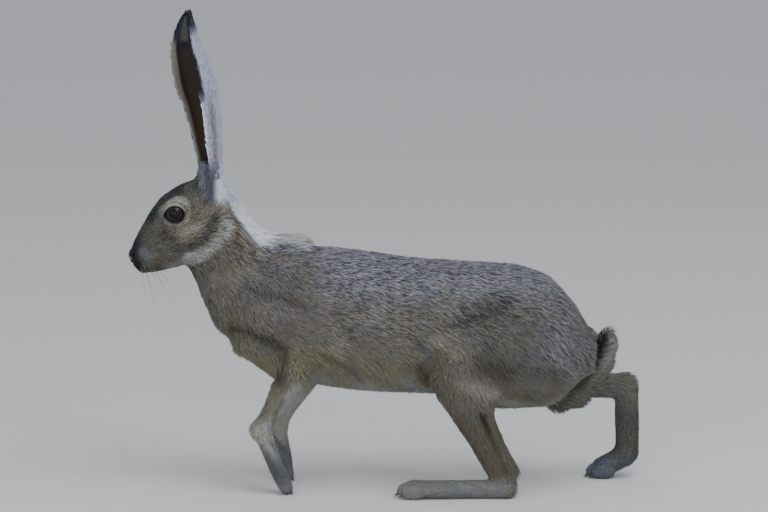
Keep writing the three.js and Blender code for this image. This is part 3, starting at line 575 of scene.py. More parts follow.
# Marks on the sides of the body and of the head, as place along and height as seen.
BODY_MARKS = [
    ("shoulder", [(-128, 208), (-100, 200), (-92, 180)], 46, 0.9),
    ("chest", [(-168, 196), (-150, 160), (-122, 130)], 36, 0.9),
    ("neck", [(-166, 212), (-146, 204), (-134, 212)], 17, 0.9),
    # low flank: buff of its own, lightened and warmed partly as painted light from below
    ("low_flank", [(-84, 122), (-40, 112), (30, 110)], 26, 0.9),
    ("haunch", [(96, 150), (150, 140)], 40, 0.8),
    ("thigh", [(46, 126), (60, 100)], 22, 0.9),
    ("thigh_pale", [(72, 102), (98, 90)], 14, 0.8),
    ("haunch_low", [(106, 92), (168, 84)], 16, 0.9),
    ("rust", [(-162, 226), (-148, 227), (-141, 236), (-142, 250)], 9, 0.95),
    ("buff", [(-160, 264), (-148, 257), (-143, 246)], 11, 0.85),
    ("neck", [(-140, 218), (-122, 226)], 9, 0.5),
    # low chest: its own buff, lightened partly as painted light from below
    ("low_flank", [(-143, 142), (-128, 128), (-112, 112)], 17, 0.85),
    ("rust", [(-137, 240), (-129, 230), (-121, 228)], 8, 0.6),
    ("rust_dark", [(-141.5, 246), (-141, 228), (-139.5, 211)], 3.2, 0.7),
    # painted shade along the folds of the flank and in the hollow before the haunch
    ("fold_shade", [(-54, 190), (-46, 184)], 8, 0.5),
    ("fold_shade", [(24, 169), (38, 173)], 6, 0.5),
    ("fold_shade", [(68, 165), (86, 169), (101, 177)], 15, 0.6),
    ("fold_shade", [(97, 156), (95, 142), (84, 134)], 7, 0.4),
    ("fold_shade", [(27, 137), (33, 131)], 6, 0.6),
    ("light", [(44, 142), (52, 136), (60, 128)], 8, 0.35),
    # painted highlight on a ridge of the low flank, over pale hair there
    ("light", [(-50, 144), (-42, 136)], 5, 0.5),
    ("brown", [(86, 124), (104, 112)], 15, 0.6),
    ("light", [(77, 100), (95, 94)], 8, 0.4),
    ("light", [(147, 132), (152, 115)], 2.6, 0.9),
    ("brown", [(143, 134), (148, 116)], 2.4, 0.7),
]
LEG_MARKS = [
    ("inner_leg", [(-82, 98), (-96, 76), (-110, 56)], 8, 0.8),
    ("line", [(-94, 86), (-102, 73), (-104, 64)], 2.8, 0.5),
    ("line", [(-116, 42), (-104, 22), (-95, 8)], 4.5, 0.45),
    ("line", [(-108, 46), (-98, 30)], 2.6, 0.5),
]
NAPE_LINE = [(-152, 293), (-139, 274), (-125, 250), (-117, 239)]
RIDGE_LINE = [(-118, 236), (-105, 236), (-91, 235), (-80, 230)]
# Where the tail's black stripe lies: about this place, at this distance from it.
STRIPE_MIDDLE, STRIPE_FAR = (120, 150), 78
FACE_MARKS = [
    ("crown", [(-200, 278), (-182, 281)], 15, 0.8),
    ("olive", [(-178, 268), (-160, 262)], 10, 0.6),
    ("profile", [(-238, 216), (-234, 228), (-227, 243), (-217, 259), (-208, 271), (-197, 279)], 12, 1.0),
    ("muzzle", [(-222, 238), (-210, 232)], 13, 0.8),
    ("pad", [(-225, 219), (-219, 215)], 6, 0.9),
    ("whisker_spot", [(-213, 214), (-205, 212)], 6, 0.6),
    ("lip", [(-226, 206), (-216, 203)], 6, 0.8),
    ("chin", [(-204, 206), (-190, 208)], 7, 0.8),
    ("cheek_warm", [(-196, 240), (-184, 234), (-172, 252)], 9, 0.6),
    ("dark", [(-205, 236), (-195, 226), (-186, 222)], 8.5, 0.7),
    ("jaw", [(-188, 238), (-176, 243)], 5.5, 0.35),
    ("dark", [(-182, 226), (-171, 231), (-163, 245), (-160, 252)], 5, 0.75),
    ("jaw", [(-183, 216), (-172, 220), (-162, 228), (-154, 236), (-149, 246)], 8.5, 0.95),
    ("dark", [(-176, 283), (-173, 275)], 5.5, 0.8),
]


def seen(points):
    """Place along and height of points on the side as seen from a little above the level."""
    return points[:, 0], points[:, 2] - 0.158 * np.abs(points[:, 1])


def markings(points, normals):
    """Colour of the coat at points of the skin, and how strongly it is ticked with black and white."""
    x, y, z = points.T
    side = np.abs(y)
    up = normals[:, 2]
    places = seen(points)
    patch = wander(points, 34, 3)
    colour = np.tile(COLOURS["flank"], (len(points), 1))
    # top-facing coat takes the back's colour: grizzled grey of its own, its bluish tint painted skylight
    topside = step(z + 6 * patch, 166, 202) * step(up + 0.12 * patch, -0.35, 0.3)
    colour = mix(colour, COLOURS["back"], topside)
    ticking = 0.05 + 0.95 * step(z + 6 * patch, 112, 206)
    flank = step(side, 10, 24)
    colour = paint(colour, places, BODY_MARKS, flank * (1 + 0.15 * patch))
    under = 1 - step(up + 0.1 * patch, -0.9, -0.5)
    colour = mix(colour, COLOURS["belly"], under * step(x, -150, -120))
    soft = np.maximum(spot(points, (-114, 36, 172), (78, 44, 60)),
                      spot(points, (-160, 20, 190), (40, 40, 54)))
    ticking *= 1 - np.clip(0.66 * soft * (1 + 0.25 * patch), 0, 0.8)
    rear = step(x - 0.3 * (z - 150), 118, 150) * step(z, 104, 136) * flank
    colour = mix(colour, COLOURS["back"], 0.45 * rear)
    ticking = np.maximum(ticking, 0.85 * rear)
    # forelegs: buff in front, pale inside and behind, whitish at the wrist
    fore = (x < -45) & (z < 112)
    inner = step(normals[:, 1] * -np.sign(y), 0.15, 0.6)
    hindward = step(normals[:, 0], 0.1, 0.6)
    colour = mix(colour, COLOURS["forearm"], fore * (1 - step(z, 96, 118)))
    colour = mix(colour, COLOURS["inner_leg"], fore * np.maximum(inner, 0.8 * hindward)
                 * (1 - step(z, 84, 108)))
    colour = mix(colour, COLOURS["wrist"], fore * (1 - step(z, 58, 78)))
    colour = mix(colour, COLOURS["paw"], fore * (1 - step(z, 30, 48)))
    near = fore * step(np.abs(normals[:, 1]), 0.1, 0.4)
    colour = paint(colour, places, LEG_MARKS, near)
    # hind legs
    behind = (x > -5) & (z < 104)
    leg = behind * (1 - step(z, 72, 98)) * (y < 0)
    far_leg = (y > 20) * step(x, 118, 140) * (1 - step(z, 104, 114)) + (y > 0) * behind * (1 - step(z, 78,
                                                                                                    100))
    far_leg = np.clip(far_leg, 0, 1)
    colour = mix(colour, COLOURS["shank"], leg)
    colour = mix(colour, COLOURS["far_leg"], far_leg)
    colour = mix(colour, COLOURS["far_hock"], far_leg * (1 - step(z, 62, 80)))
    colour = mix(colour, COLOURS["inner_leg"], leg * inner * 0.7)
    # painted shade down the groove of each hind shank
    colour = mix(colour, COLOURS["groove_shade"],
                 band(points, ((85, 55, 80), (108, 56, 28)), 5.0, 0.3) * (y < 0))
    colour = mix(colour, COLOURS["groove_shade"], band(points, ((216, 51, 86), (220, 51, 34)), 4.0, 0.2)
                 * (y > 0) * 0.7)
    feet = (x > -5) & (z < 30)
    colour = mix(colour, COLOURS["foot"], feet * (y < 0) * (1 - step(z, 15, 27)))
    colour = mix(colour, COLOURS["far_foot"], feet * (y > 0) * (x > 150) * (1 - step(z, 15, 30)))
    ticking = np.where(fore | (leg > 0.4) | (far_leg > 0.4), 0.08, ticking)
    # nape and the pale ridge behind it
    edge = near_line(places[0], places[1], np.array(NAPE_LINE, float))
    nape = (1 - step(edge + 1.2 * patch, 9.0, 12.5)) * step(z, 222, 232) * (x > -156)
    colour = mix(colour, COLOURS["nape"], nape)
    crest = near_line(places[0], places[1], np.array(RIDGE_LINE, float))
    along = (1 - step(crest + 1.0 * patch, 5.5, 10.5)) * (1 - step(x, -86, -72)) * (1 - nape)
    colour = mix(colour, COLOURS["ridge"], along)
    ticking *= 1 - 0.85 * np.maximum(nape, along)
    # painted shade in the folds and painted light along the ridges, laid over the colours
    painted_fold_shading = 1 - np.clip(1.5 * fold_marks(points, FOLDS)[1], 0, 0.6)
    painted_fold_shading += np.clip(1.5 * fold_marks(points, RIDGES)[1], 0, 0.5)
    warm = wander(points, 15, 5)[:, None] * np.array([0.04, 0.01, -0.07])
    colour = colour * painted_fold_shading[:, None] * (1 + warm)
    return head_markings(points, normals, colour, ticking)


def head_markings(points, normals, colour, ticking):
    """Face, cheek and eye ring over the body's colours, then the tail."""
    back, side, rise = head_place(points)
    x, y, z = points.T
    places = seen(points)
    head = (1 - step(back + 0.25 * (rise + 10), 84, 96)) * step(rise, -46, -34)
    patch = wander(points, 11, 8)
    top = normals @ HEAD_UP
    colour = mix(colour, COLOURS["cheek"] * (1 + 0.12 * patch[:, None]), head)
    ticking = ticking * (1 - head) + 0.8 * head
    muzzle = head * (1 - step(back, 28, 44))
    colour = mix(colour, COLOURS["muzzle"], muzzle)
    ticking *= 1 - 0.45 * muzzle
    colour = paint(colour, places, FACE_MARKS, np.clip(1 + 0.2 * patch, 0, 1.1) * (back < 102))
    throat = head * (1 - step(top, -0.8, -0.45)) * step(back, 18, 32)
    colour = mix(colour, COLOURS["jaw"], throat * 0.45)
    tip = (1 - step(back, 6.5, 10)) * (1 - step(np.abs(rise + 3), 7, 10))
    colour = mix(colour, COLOURS["nose"], tip)
    slit = np.exp(-((near_line(back, rise, NOSTRIL) / 1.5) ** 2)) * step(side, 1.2, 2.6) * (back < 9)
    colour = mix(colour, COLOURS["nose"] * 0.5, slit)
    mouth = np.exp(-((near_line(back, rise, LIPS) / 0.9) ** 2)) * (back < 25)
    colour = mix(colour, COLOURS["nose"], mouth * 0.7)
    # round the eye: u forward, w up from the eye's middle
    u, w = -(x - EYE[0]), z - EYE[2]
    round_eye = np.hypot(u / LID_LONG, w / LID_HIGH)
    beside = step(side, 14, 18)
    angle = np.degrees(np.arctan2(w, u))
    above = step(angle, 25, 55) * (1 - step(angle, 135, 165))
    colour = mix(colour, COLOURS["behind_eye"], beside * (1 - step(round_eye, 1.45, 1.85)) * 0.9)
    front = beside * np.exp(-(((u - 12.5) / 2.8) ** 2) - ((w + 1) / 7) ** 2)
    colour = mix(colour, COLOURS["before_eye"], front * 0.9)
    crescent = np.exp(-(((np.hypot(u / 1.08, w) - 11.5) / 3.0) ** 4))
    colour = mix(colour, COLOURS["cream"], above * beside * crescent)
    corner = beside * np.exp(-(((u - 9.0) / 2.4) ** 2) - ((w + 5) / 3.0) ** 2)
    colour = mix(colour, COLOURS["dark"], corner * 0.8)
    line = beside * np.exp(-(((np.hypot(u, w * 1.1) - 11.2) / 1.0) ** 2)) * (1 - step(w, -6, -2))
    colour = mix(colour, COLOURS["cream"], line * 0.5)
    rim = beside * (1 - step(round_eye, 0.98, 1.14))
    colour = mix(colour, COLOURS["rim"], rim * 0.9)
    # front of the ear base: grey-blue, with painted shade of the crease running down its front edge
    base = step(x, -168, -164) * step(z - 0.5 * (x + 160), 262, 274) * (side < 36)
    colour = mix(colour, COLOURS["ear_base"], base)
    edge = band(points, ((-172, 26, 304), (-168, 29, 268)), 4.2, 0.4)
    colour = mix(colour, COLOURS["bluish"], edge * 0.9)
    rear = step(x, -160, -154) * step(z, 262, 274) * (side < 34)
    colour = mix(colour, COLOURS["white"], rear)
    ticking *= 1 - 0.8 * np.maximum(rear, base)
    # tail: black on the side that faces the rump, narrowing downward, the rest a fringe that pales outward
    tail = step(x - 0.35 * (z - 90), 148, 156) * (side < 17) * (z < 160) * (x > 150)
    on_tail = tail * (tail_value(points) < 3.5)
    pale = step(z, 92, 130)
    tail_colour = mix(np.tile(COLOURS["fringe_low"], (len(points), 1)), COLOURS["fringe"], pale)
    out = np.hypot(places[0] - STRIPE_MIDDLE[0], places[1] - STRIPE_MIDDLE[1]) - STRIPE_FAR + 2.5 * pale
    half = 0.9 + 5.0 * step(z, 88, 142)
    tail_colour = mix(tail_colour, COLOURS["haunch_low"], 1 - step(out, -half - 1.5, -half + 1))
    facing = -normals[:, 0] * 0.9 + normals[:, 2] * 0.35
    black = np.maximum(1 - step(np.abs(out), half - 1.2, half + 2.2), step(facing, 0.45, 0.7) * pale)
    black *= 0.5 + 0.5 * pale
    tail_colour = mix(tail_colour, COLOURS["black"], black)
    colour = np.where(on_tail[:, None] > 0.5, tail_colour, colour)
    ticking = np.where(on_tail > 0.5, 0.12, ticking)
    streak = band(points, ((176, 0, 196), (192, 0, 150)), 15, 0.4) * (on_tail < 0.5)
    colour = mix(colour, COLOURS["dark"], streak * 0.6)
    return colour, np.clip(ticking, 0, 1)


def tail_value(points):
    """How far outside the tail's bars a point is, the coat's depth taken off."""
    total = np.full(len(points), 60.0)
    for bar in TAIL:
        near = np.flatnonzero(np.all((points > bar.low) & (points < bar.high), axis=1))
        if len(near):
            far, _ = bar.measure(points[near])
            total[near] = join(total[near], far, bar.blend)
    return total + 6


def mesh_piece(name, points, faces, material, colours=None, normals=None):
    """A piece from points in the animal's millimetres: carried into the part's frame, riding on the root."""
    mesh = bpy.data.meshes.new(name)
    faces = np.asarray(faces)
    corners = faces.shape[1]
    mesh.vertices.add(len(points))
    mesh.vertices.foreach_set("co", ((points + SHIFT) / 1000.0).astype(np.float32).ravel())
    mesh.loops.add(faces.size)
    mesh.loops.foreach_set("vertex_index", faces.astype(np.int32).ravel())
    mesh.polygons.add(len(faces))
    mesh.polygons.foreach_set("loop_start", np.arange(0, faces.size, corners, dtype=np.int32))
    mesh.polygons.foreach_set("loop_total", np.full(len(faces), corners, np.int32))
    mesh.polygons.foreach_set("use_smooth", np.full(len(faces), True))
    mesh.update(calc_edges=True)
    if colours is not None:
        layer = mesh.attributes.new("coat_colour", "FLOAT_COLOR", "POINT")
        full = np.concatenate([colours, np.ones((len(colours), 1))], 1)
        layer.data.foreach_set("color", full.astype(np.float32).ravel())
    if normals is not None:
        mesh.normals_split_custom_set_from_vertices(normals.astype(np.float32))
    piece = bpy.data.objects.new(name, mesh)
    bpy.context.scene.collection.objects.link(piece)
    mesh.materials.append(material)
    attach(piece, "root")
    return piece


def joined(parts):
    """Several (points, faces) as one, the face numbers moved on."""
    total, points, faces = 0, [], []
    for some, rings in parts:
        points.append(some)
        faces.append(np.asarray(rings) + total)
        total += len(some)
    return np.concatenate(points), np.concatenate(faces)


def grid_faces(count, across, steps):
    """Triangles over a grid of count rows that wraps round each row, and over its rows if steps is count."""
    i, j = np.meshgrid(np.arange(steps), np.arange(across), indexing="ij")
    after, beside = (i + 1) % count, (j + 1) % across
    rings = np.stack([i * across + j, i * across + beside, after * across + beside, after * across + j], -1)
    return triangles_of(rings.reshape(-1, 4))


def tube(rows):
    """Faces over a grid of points (rows by columns), wrapping round each row, ends closed by small fans."""
    count, across = rows.shape[:2]
    points = rows.reshape(-1, 3)
    faces = grid_faces(count, across, count - 1)
    ends = np.stack([rows[0].mean(0), rows[-1].mean(0)])
    first, last = len(points), len(points) + 1
    j = np.arange(across)
    nxt = (j + 1) % across
    start = np.stack([np.full(across, first), nxt, j], 1)
    top = (count - 1) * across
    stop = np.stack([np.full(across, last), top + j, top + nxt], 1)
    return np.concatenate([points, ends]), np.concatenate([faces, start, stop])


# Skin.
def toe_lobes():
    """Toes as round lobes sunk in each paw, the middle two longer, and the tips where their claws start."""
    lobes, claws = [], []
    feet = [
        ((FORELEG[-1]["toe"][0] - 0.8, -30, 7.5), 4.2, (8.6, 3.3, 6.4), -1.95),
        ((FORELEG[1]["toe"][0] - 0.8, 29, 7.5), 4.2, (8.6, 3.3, 6.4), -1.95),
        ((21, SOLE_LEFT, 7.2), 5.6, (12, 4.3, 8), 0.0),
        ((200, SOLE_RIGHT, 6.9), 5.6, (13, 4.3, 8), -0.1),
    ]
    inset = 0.84
    v, u = np.meshgrid(np.linspace(0.06, math.pi - 0.06, 11), np.linspace(0, 2 * math.pi, 14, endpoint=False),
                       indexing="ij")
    ball = np.stack([-np.cos(v), np.sin(v) * np.cos(u), np.sin(v) * np.sin(u)], -1)
    for (x, y, z), spread, (long, wide, tall), turn in feet:
        rotation = np.array([[math.cos(turn), 0, math.sin(turn)], [0, 1, 0],
                             [-math.sin(turn), 0, math.cos(turn)]])
        for place in (-1.5, -0.5, 0.5, 1.5):
            back = 0.3 * long if abs(place) > 1 else 0
            local = ball * (long, wide, tall) * inset + (back, 0, 0)
            points = local @ rotation.T + (x, y + place * spread, z)
            points[..., 2] = np.maximum(points[..., 2], 0.45)
            lobes.append(tube(points))
            tip = np.array([-long * inset + back, 0, -0.35 * tall])
            way = np.array([-0.95, 0, -0.3])
            claws.append((tip @ rotation.T + (x, y + place * spread, z), rotation @ way))
    return lobes, claws


def make_skin(material):
    """The skin of the whole animal but the ears' cups, closed, with the toes' lobes in the same mesh."""
    ticks = [spaced((-244, -212, -142, 238), (0.9, 1.3, 2.5)),
             spaced((-64, -32, -10, 10, 32, 64), (2.6, 1.3, 1.0, 1.3, 2.6)),
             spaced((-3, 186, 308), (2.5, 1.25))]
    points, rings = surface_nets(skin_on_grid(ticks), ticks)
    points = settle(skin_at, points, rings)
    faces = triangles_of(rings)
    lobes, claws = toe_lobes()
    toes, toe_faces = joined(lobes)
    normals = np.concatenate([vertex_normals(points, faces), vertex_normals(toes, toe_faces)])
    all_points, all_faces = joined([(points, faces), (toes, toe_faces)])
    colours, _ = markings(all_points, normals)
    skin = mesh_piece("skin", all_points, all_faces, material, colours * 0.8)
    flesh = [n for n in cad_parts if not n.startswith(("eye_", "ear_"))]
    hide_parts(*flesh)
    return points, faces, (toes, toe_faces), claws


# Coat: a tuft is a three-sided wedge of 7 points, a guard hair a spike of 4, each a patch of the unwrap.
PATCH = 0.003
TUFT_FACES = np.array([(0, 1, 4), (0, 4, 3), (1, 2, 5), (1, 5, 4), (2, 0, 3), (2, 3, 5), (3, 4, 6), (4, 5, 6),
                       (5, 3, 6), (0, 2, 1)])
TUFT_PATCH = np.array([(0, 0), (0.5, 0), (1, 0), (0.1, 0.5), (0.5, 0.45), (0.9, 0.5), (0.5, 1)]) * PATCH
HAIR_FACES = np.array([(0, 1, 3), (1, 2, 3), (2, 0, 3), (0, 2, 1)])
HAIR_PATCH = np.array([(0, 0), (0.5, 0), (1, 0), (0.5, 1)]) * PATCH
COAT_FLOOR = 0.3
CROWD = 0.32
GUARDS_A_TUFT = 1.7
TAIL_TUFT = 8.5
DARKEST, PALEST = 0.004, 0.95


def scatter(points, faces, crowd, seed):
    """Roots spread over a mesh: each face's share is its area times the crowd there, drawn in even steps."""
    rng = np.random.default_rng(seed)
    corners = points[faces]
    area = np.linalg.norm(np.cross(corners[:, 1] - corners[:, 0], corners[:, 2] - corners[:, 0]), axis=1) / 2
    total = np.cumsum(area * crowd(corners.mean(1)))
    count = int(total[-1])
    drawn = (np.arange(count) + rng.uniform(0, 1, count)) / count * total[-1]
    face = np.minimum(np.searchsorted(total, drawn), len(faces) - 1)
    a, b = rng.uniform(0, 1, (2, count))
    fold = a + b > 1
    a, b = np.where(fold, 1 - a, a), np.where(fold, 1 - b, b)
    share = np.stack([1 - a - b, a, b], 1)
    return (corners[face] * share[:, :, None]).sum(1), face, share


def gather(points, size, seed):
    """For each root the middle of the lock it belongs to: a jittered point of its cell in a coarse grid."""
    cell = np.floor(points / size)
    mixed = np.sin(cell @ np.array([[12.9898, 39.346, 73.156], [78.233, 11.135, 52.235],
                                    [37.719, 83.155, 9.151]])
                   + seed) * 43758.5453
    return (cell + 0.2 + 0.6 * (mixed - np.floor(mixed))) * size


def combed(normals, lie, sway, rng):
    """Way of each hair in the skin's plane, turned a little at random, and the direction across it."""
    lie = unit(lie - normals * (lie * normals).sum(1, keepdims=True))
    across = np.cross(normals, lie)
    swing = rng.normal(0, sway, len(lie))[:, None]
    way = unit(lie * np.cos(swing) + across * np.sin(swing))
    return way, np.cross(normals, way)


def tufts(roots, normals, lie, depth, length, width, colours, ticking, seed, locks, pull=0.2):
    """Closed three-sided wedges: a root ring under the skin, a ring half way that has risen most of the
    coat's depth, and a tip lying back along the hair's way. Tips lean toward the middle of their lock.

    Colours run from a root darkened for the dark underfur and partly as painted shade deep in the coat,
    through the coat's own colour, to a tip that is black, white or plain."""
    rng = np.random.default_rng(seed)
    count = len(roots)
    way, across = combed(normals, lie, 0.16, rng)
    toward = gather(roots + way * length[:, None] * 0.5, locks, seed) - roots
    toward -= normals * (toward * normals).sum(1, keepdims=True)
    lean = np.clip((toward * across).sum(1), -locks, locks)[:, None] * pull
    rise = (depth * rng.uniform(0.72, 1.02, count))[:, None]
    long = (length * rng.uniform(0.8, 1.15, count))[:, None]
    wide = (width * rng.uniform(0.75, 1.25, count))[:, None]
    thick = wide * 0.42
    root = roots - normals * 0.35
    middle = roots + way * long * 0.48 + normals * rise * 0.74 + across * lean * 0.45
    tip = roots + way * long + normals * rise + across * lean
    tip += rng.normal(0, 0.05, (count, 3)) * long
    rings = []
    for centre, size in ((root, 0.8), (middle, 1.0)):
        rings += [centre + across * wide * 0.5 * size - normals * thick * 0.3,
                  centre + normals * thick * 0.7,
                  centre - across * wide * 0.5 * size - normals * thick * 0.3]
    points = np.stack(rings + [tip], 1)
    points[..., 2] = np.maximum(points[..., 2], COAT_FLOOR)
    draw = rng.uniform(0, 1, count)
    dark = (draw < 0.36 * ticking)[:, None]
    pale = (draw > 1 - 0.34 * ticking)[:, None]
    strong = ticking[:, None]
    body = colours * (1 + rng.normal(0, 1, (count, 1)) * (0.05 + 0.05 * strong))
    tips = np.where(dark, body * 0.2, np.where(pale, body * 1.25 + 0.1, body * 1.05))
    shaft = np.where(dark, body * 0.62, np.where(pale, body * 1.12 + 0.05, body))
    # root ring darkened for the dark underfur and partly as painted shade deep in the coat
    tints = np.stack([body * (0.75 - 0.3 * strong)] * 3 + [shaft] * 3 + [tips], 1)
    return points, np.clip(tints, DARKEST, PALEST)


def guard_hairs(roots, normals, lie, depth, length, width, colours, ticking, seed):
    """Straight stiff hairs over the tufts, each a flat three-sided spike from inside the coat to its
    surface, black-tipped or white-tipped as the ticking asks."""
    rng = np.random.default_rng(seed)
    count = len(roots)
    way, across = combed(normals, lie, 0.2, rng)
    start = (depth * rng.uniform(0.42, 0.7, count))[:, None]
    rise = (depth * rng.uniform(0.28, 0.42, count))[:, None]
    long = (length * rng.uniform(0.7, 1.2, count))[:, None]
    wide = (width * rng.uniform(0.7, 1.25, count))[:, None]
    base = roots + normals * start
    tip = base + way * long + normals * rise
    points = np.stack([base + across * wide * 0.5, base + normals * wide * 0.45 + way * wide,
                       base - across * wide * 0.5, tip], 1)
    points[..., 2] = np.maximum(points[..., 2], COAT_FLOOR)
    draw = rng.uniform(0, 1, count)
    dark = (draw < 0.12 + 0.34 * ticking)[:, None]
    pale = (draw > 0.9 - 0.36 * ticking)[:, None]
    strong = ticking[:, None]
    body = colours * (1 + rng.normal(0, 1, (count, 1)) * (0.06 + 0.08 * strong))
    tips = np.where(dark, body * (0.6 - 0.47 * strong),
                    np.where(pale, body * 1.12 + 0.02 + 0.2 * strong, body * 1.05))
    base_tint = np.where(dark, body * (0.8 - 0.45 * strong), np.where(pale, body * 0.98, body * 0.9))
    tints = np.stack([base_tint] * 3 + [tips], 1)
    return points, np.clip(tints, DARKEST, PALEST)


def coat_piece(name, sets, material, shape=TUFT_FACES, patch_of=TUFT_PATCH):
    """One coat piece from several sets of tufts or hairs: (points, tints, normals, unwrap places)."""
    points, tints, normals, places = (np.concatenate([s[k] for s in sets]) for k in range(4))
    count, corners = points.shape[:2]
    faces = (shape[None] + corners * np.arange(count)[:, None, None]).reshape(-1, 3)
    flat = points.reshape(-1, 3)
    own = vertex_normals(flat, faces)
    soft = unit(own * 0.5 + np.repeat(normals, corners, 0) * 0.8)
    piece = mesh_piece(name, flat, faces, material, tints.reshape(-1, 3), soft)
    patch = places[:, None, None, :] + patch_of[shape][None]
    layer = piece.data.uv_layers.new(name="OFBake")
    layer.data.foreach_set("uv", patch.astype(np.float32).ravel())


def unwrap(points, a, b, box):
    """Place on an unwrap: along the line from a to b, and round it, inside a box of the unit square."""
    a, b = np.array(a, float), np.array(b, float)
    along = unit(b - a)
    offset = points - a
    u = np.clip(offset @ along / np.linalg.norm(b - a), 0, 1)
    first = unit(np.cross(along, (0, 1, 0)))
    second = np.cross(along, first)
    v = np.arctan2(offset @ second, offset @ first) / (2 * math.pi) + 0.5
    (u0, v0), (u1, v1) = box
    return np.stack([u0 + (u1 - u0 - 0.004) * u, v0 + (v1 - v0 - 0.004) * v], 1)


def regions(points):
    """Which coat piece a root belongs to."""
    x, y, z = points.T
    back = head_place(points)[0]
    head = (back < 92) & (z > 190) & (x < -136)
    neck = ~head & (x < -84) & (z > 128)
    tail = (tail_value(points) < 2.5) & (np.abs(y) < 17) & (x > 140)
    fore = (x < -40) & (z < 112) & ~neck
    hind = ((z < 88) & (x > 20) | (x > 150) & (y > 20) & (z < 108)) & ~tail & (np.abs(y) > 20)
    left = y < 0
    region = np.full(len(points), "coat_back_right", dtype="U24")
    region[left] = "coat_back_left"
    rump = (x > 78) & ~tail & ~hind
    region[rump & left], region[rump & ~left] = "coat_haunch_left", "coat_haunch_right"
    region[neck] = "coat_neck"
    region[head & left], region[head & ~left] = "coat_head_left", "coat_head_right"
    region[fore] = "coat_forelegs"
    region[hind] = "coat_hind_legs"
    region[tail] = "coat_tail"
    return region


def crowd_on(points):
    """Tufts per square millimetre: close on the face and feet, wider apart on the body."""
    back, side, rise = head_place(points)
    x, y, z = points.T
    face = 1 - step(back, 74, 100)
    muzzle = 1 - step(back, 22, 44)
    low_leg = (1 - step(z, 60, 96)) * (np.abs(y) > 15)
    crowd = CROWD + 0.68 * face * (z > 188) + 0.5 * muzzle * (z > 188)
    crowd = np.maximum(crowd, CROWD + 0.24 * low_leg)
    crowd = np.maximum(crowd, CROWD + 0.3 * band(points, ((-150, 0, 272), (-100, 0, 236)), 56, 0.2, False))
    near_side = mirrored(points)
    eye = np.linalg.norm(near_side - EYE, axis=-1)
    crowd = crowd * (eye > EYE_RADIUS + 0.7)
    slit = near_line(back, rise, NOSTRIL) < 1.4
    pad = (back < 2.4) & (np.abs(rise + 5) < 4)
    mouth = (near_line(back, rise, LIPS) < 0.8) & (back < 24)
    sole = z < 0.9
    return crowd * ~((slit & (back < 9) & (side > 1.4)) | pad | mouth | sole)


def guard_crowd(points):
    """Guard hairs per square millimetre, a few to each tuft."""
    return crowd_on(points) * GUARDS_A_TUFT


def round_the_eye(roots, lie):
    """Turns the lie so that no hair points into an eye: the inward share is taken out near it."""
    centre = EYE * np.stack([np.ones(len(roots)), np.sign(roots[:, 1]), np.ones(len(roots))], 1)
    outward = (roots - centre) * (1, 0, 1)
    far = np.linalg.norm(outward, axis=1)
    outward = outward / (far[:, None] + 1e-6)
    near = (1 - step(far, 9, 22)) * (np.abs(roots[:, 1]) > 12) * (roots[:, 2] > 230)
    inward = np.minimum((lie * outward).sum(1), 0)
    return unit(lie - outward * (inward * near)[:, None] + outward * (near * 0.45)[:, None]), near


# Lines that the pieces of the coat are unwrapped along and round; the legs have lines of their own.
UNWRAPS = {
    "back": ((-90, 0, 150), (80, 0, 150)), "haunch": ((78, 0, 140), (200, 0, 140)),
    "neck": ((-190, 0, 230), (-84, 0, 170)), "tail": ((140, 0, 80), (206, 0, 150)),
    "head": (tuple(NOSE_TIP), tuple(SKULL_BACK)),
}
LEG_UNWRAPS = [((-100, -30, 112), (-95, -30, 0)), ((-85, 30, 112), (-93, 30, 0)),
               ((70, -46, 100), (100, -46, 0)), ((98, 42, 92), (222, 41, 0))]


def unwrapped(name, roots):
    """Unwrap places of the roots of a piece, the four legs each in a quarter of the square."""
    part = name.split("_")[1]
    if part in UNWRAPS:
        return unwrap(roots, *UNWRAPS[part], ((0.01, 0.01), (0.99, 0.99)))
    places = np.zeros((len(roots), 2))
    leg = (roots[:, 0] > 0) * 2 + (roots[:, 1] > 0)
    for i, (a, b) in enumerate(LEG_UNWRAPS):
        corner = (0.01 + 0.49 * (i % 2), 0.01 + 0.49 * (i // 2))
        places[leg == i] = unwrap(roots[leg == i], a, b, (corner, (corner[0] + 0.48, corner[1] + 0.48)))
    return places


def hair_at(points, faces, crowd, seed):
    """Roots over the skin with all that a hair needs there: normal, lie, depth, colour and ticking."""
    normals = vertex_normals(points, faces)
    roots, face, share = scatter(points, faces, crowd, seed)
    normal = unit((normals[faces[face]] * share[:, :, None]).sum(1))
    _, depth, lie = skin_at(roots, bars_too=True)
    x, y, z = roots.T
    low = (1 - step(z, 100, 150)) * step(x, -105, -80) * (1 - step(x, 20, 50)) * (z > 80)
    lie = unit(lie + low[:, None] * (-0.35, 0, -0.75))
    back, side, rise = head_place(roots)
    tip = (1 - step(back, 3, 14)) * (z > 190)
    lie = unit(lie + tip[:, None] * (HEAD_UP * 0.5 + np.stack([0 * y, np.sign(y) * 0.6, 0 * y], 1)))
    lie, near_eye = round_the_eye(roots, lie)
    lie = unit(lie + 0.10 * np.stack([wander(roots, 46, k) for k in (21, 22, 23)], 1))
    colours, ticking = markings(roots, normal)
    where = regions(roots)
    tail = where == "coat_tail"
    depth = np.where(tail, depth * 1.05, depth * (1 - 0.55 * near_eye))
    outward = unit(np.stack([x - STRIPE_MIDDLE[0], 0 * y, z - STRIPE_MIDDLE[1]], 1))
    lie = np.where(tail[:, None], unit(0.4 * lie + 0.9 * outward + (0, 0, 0.25)), lie)
    return roots, normal, lie, depth, colours, ticking, where


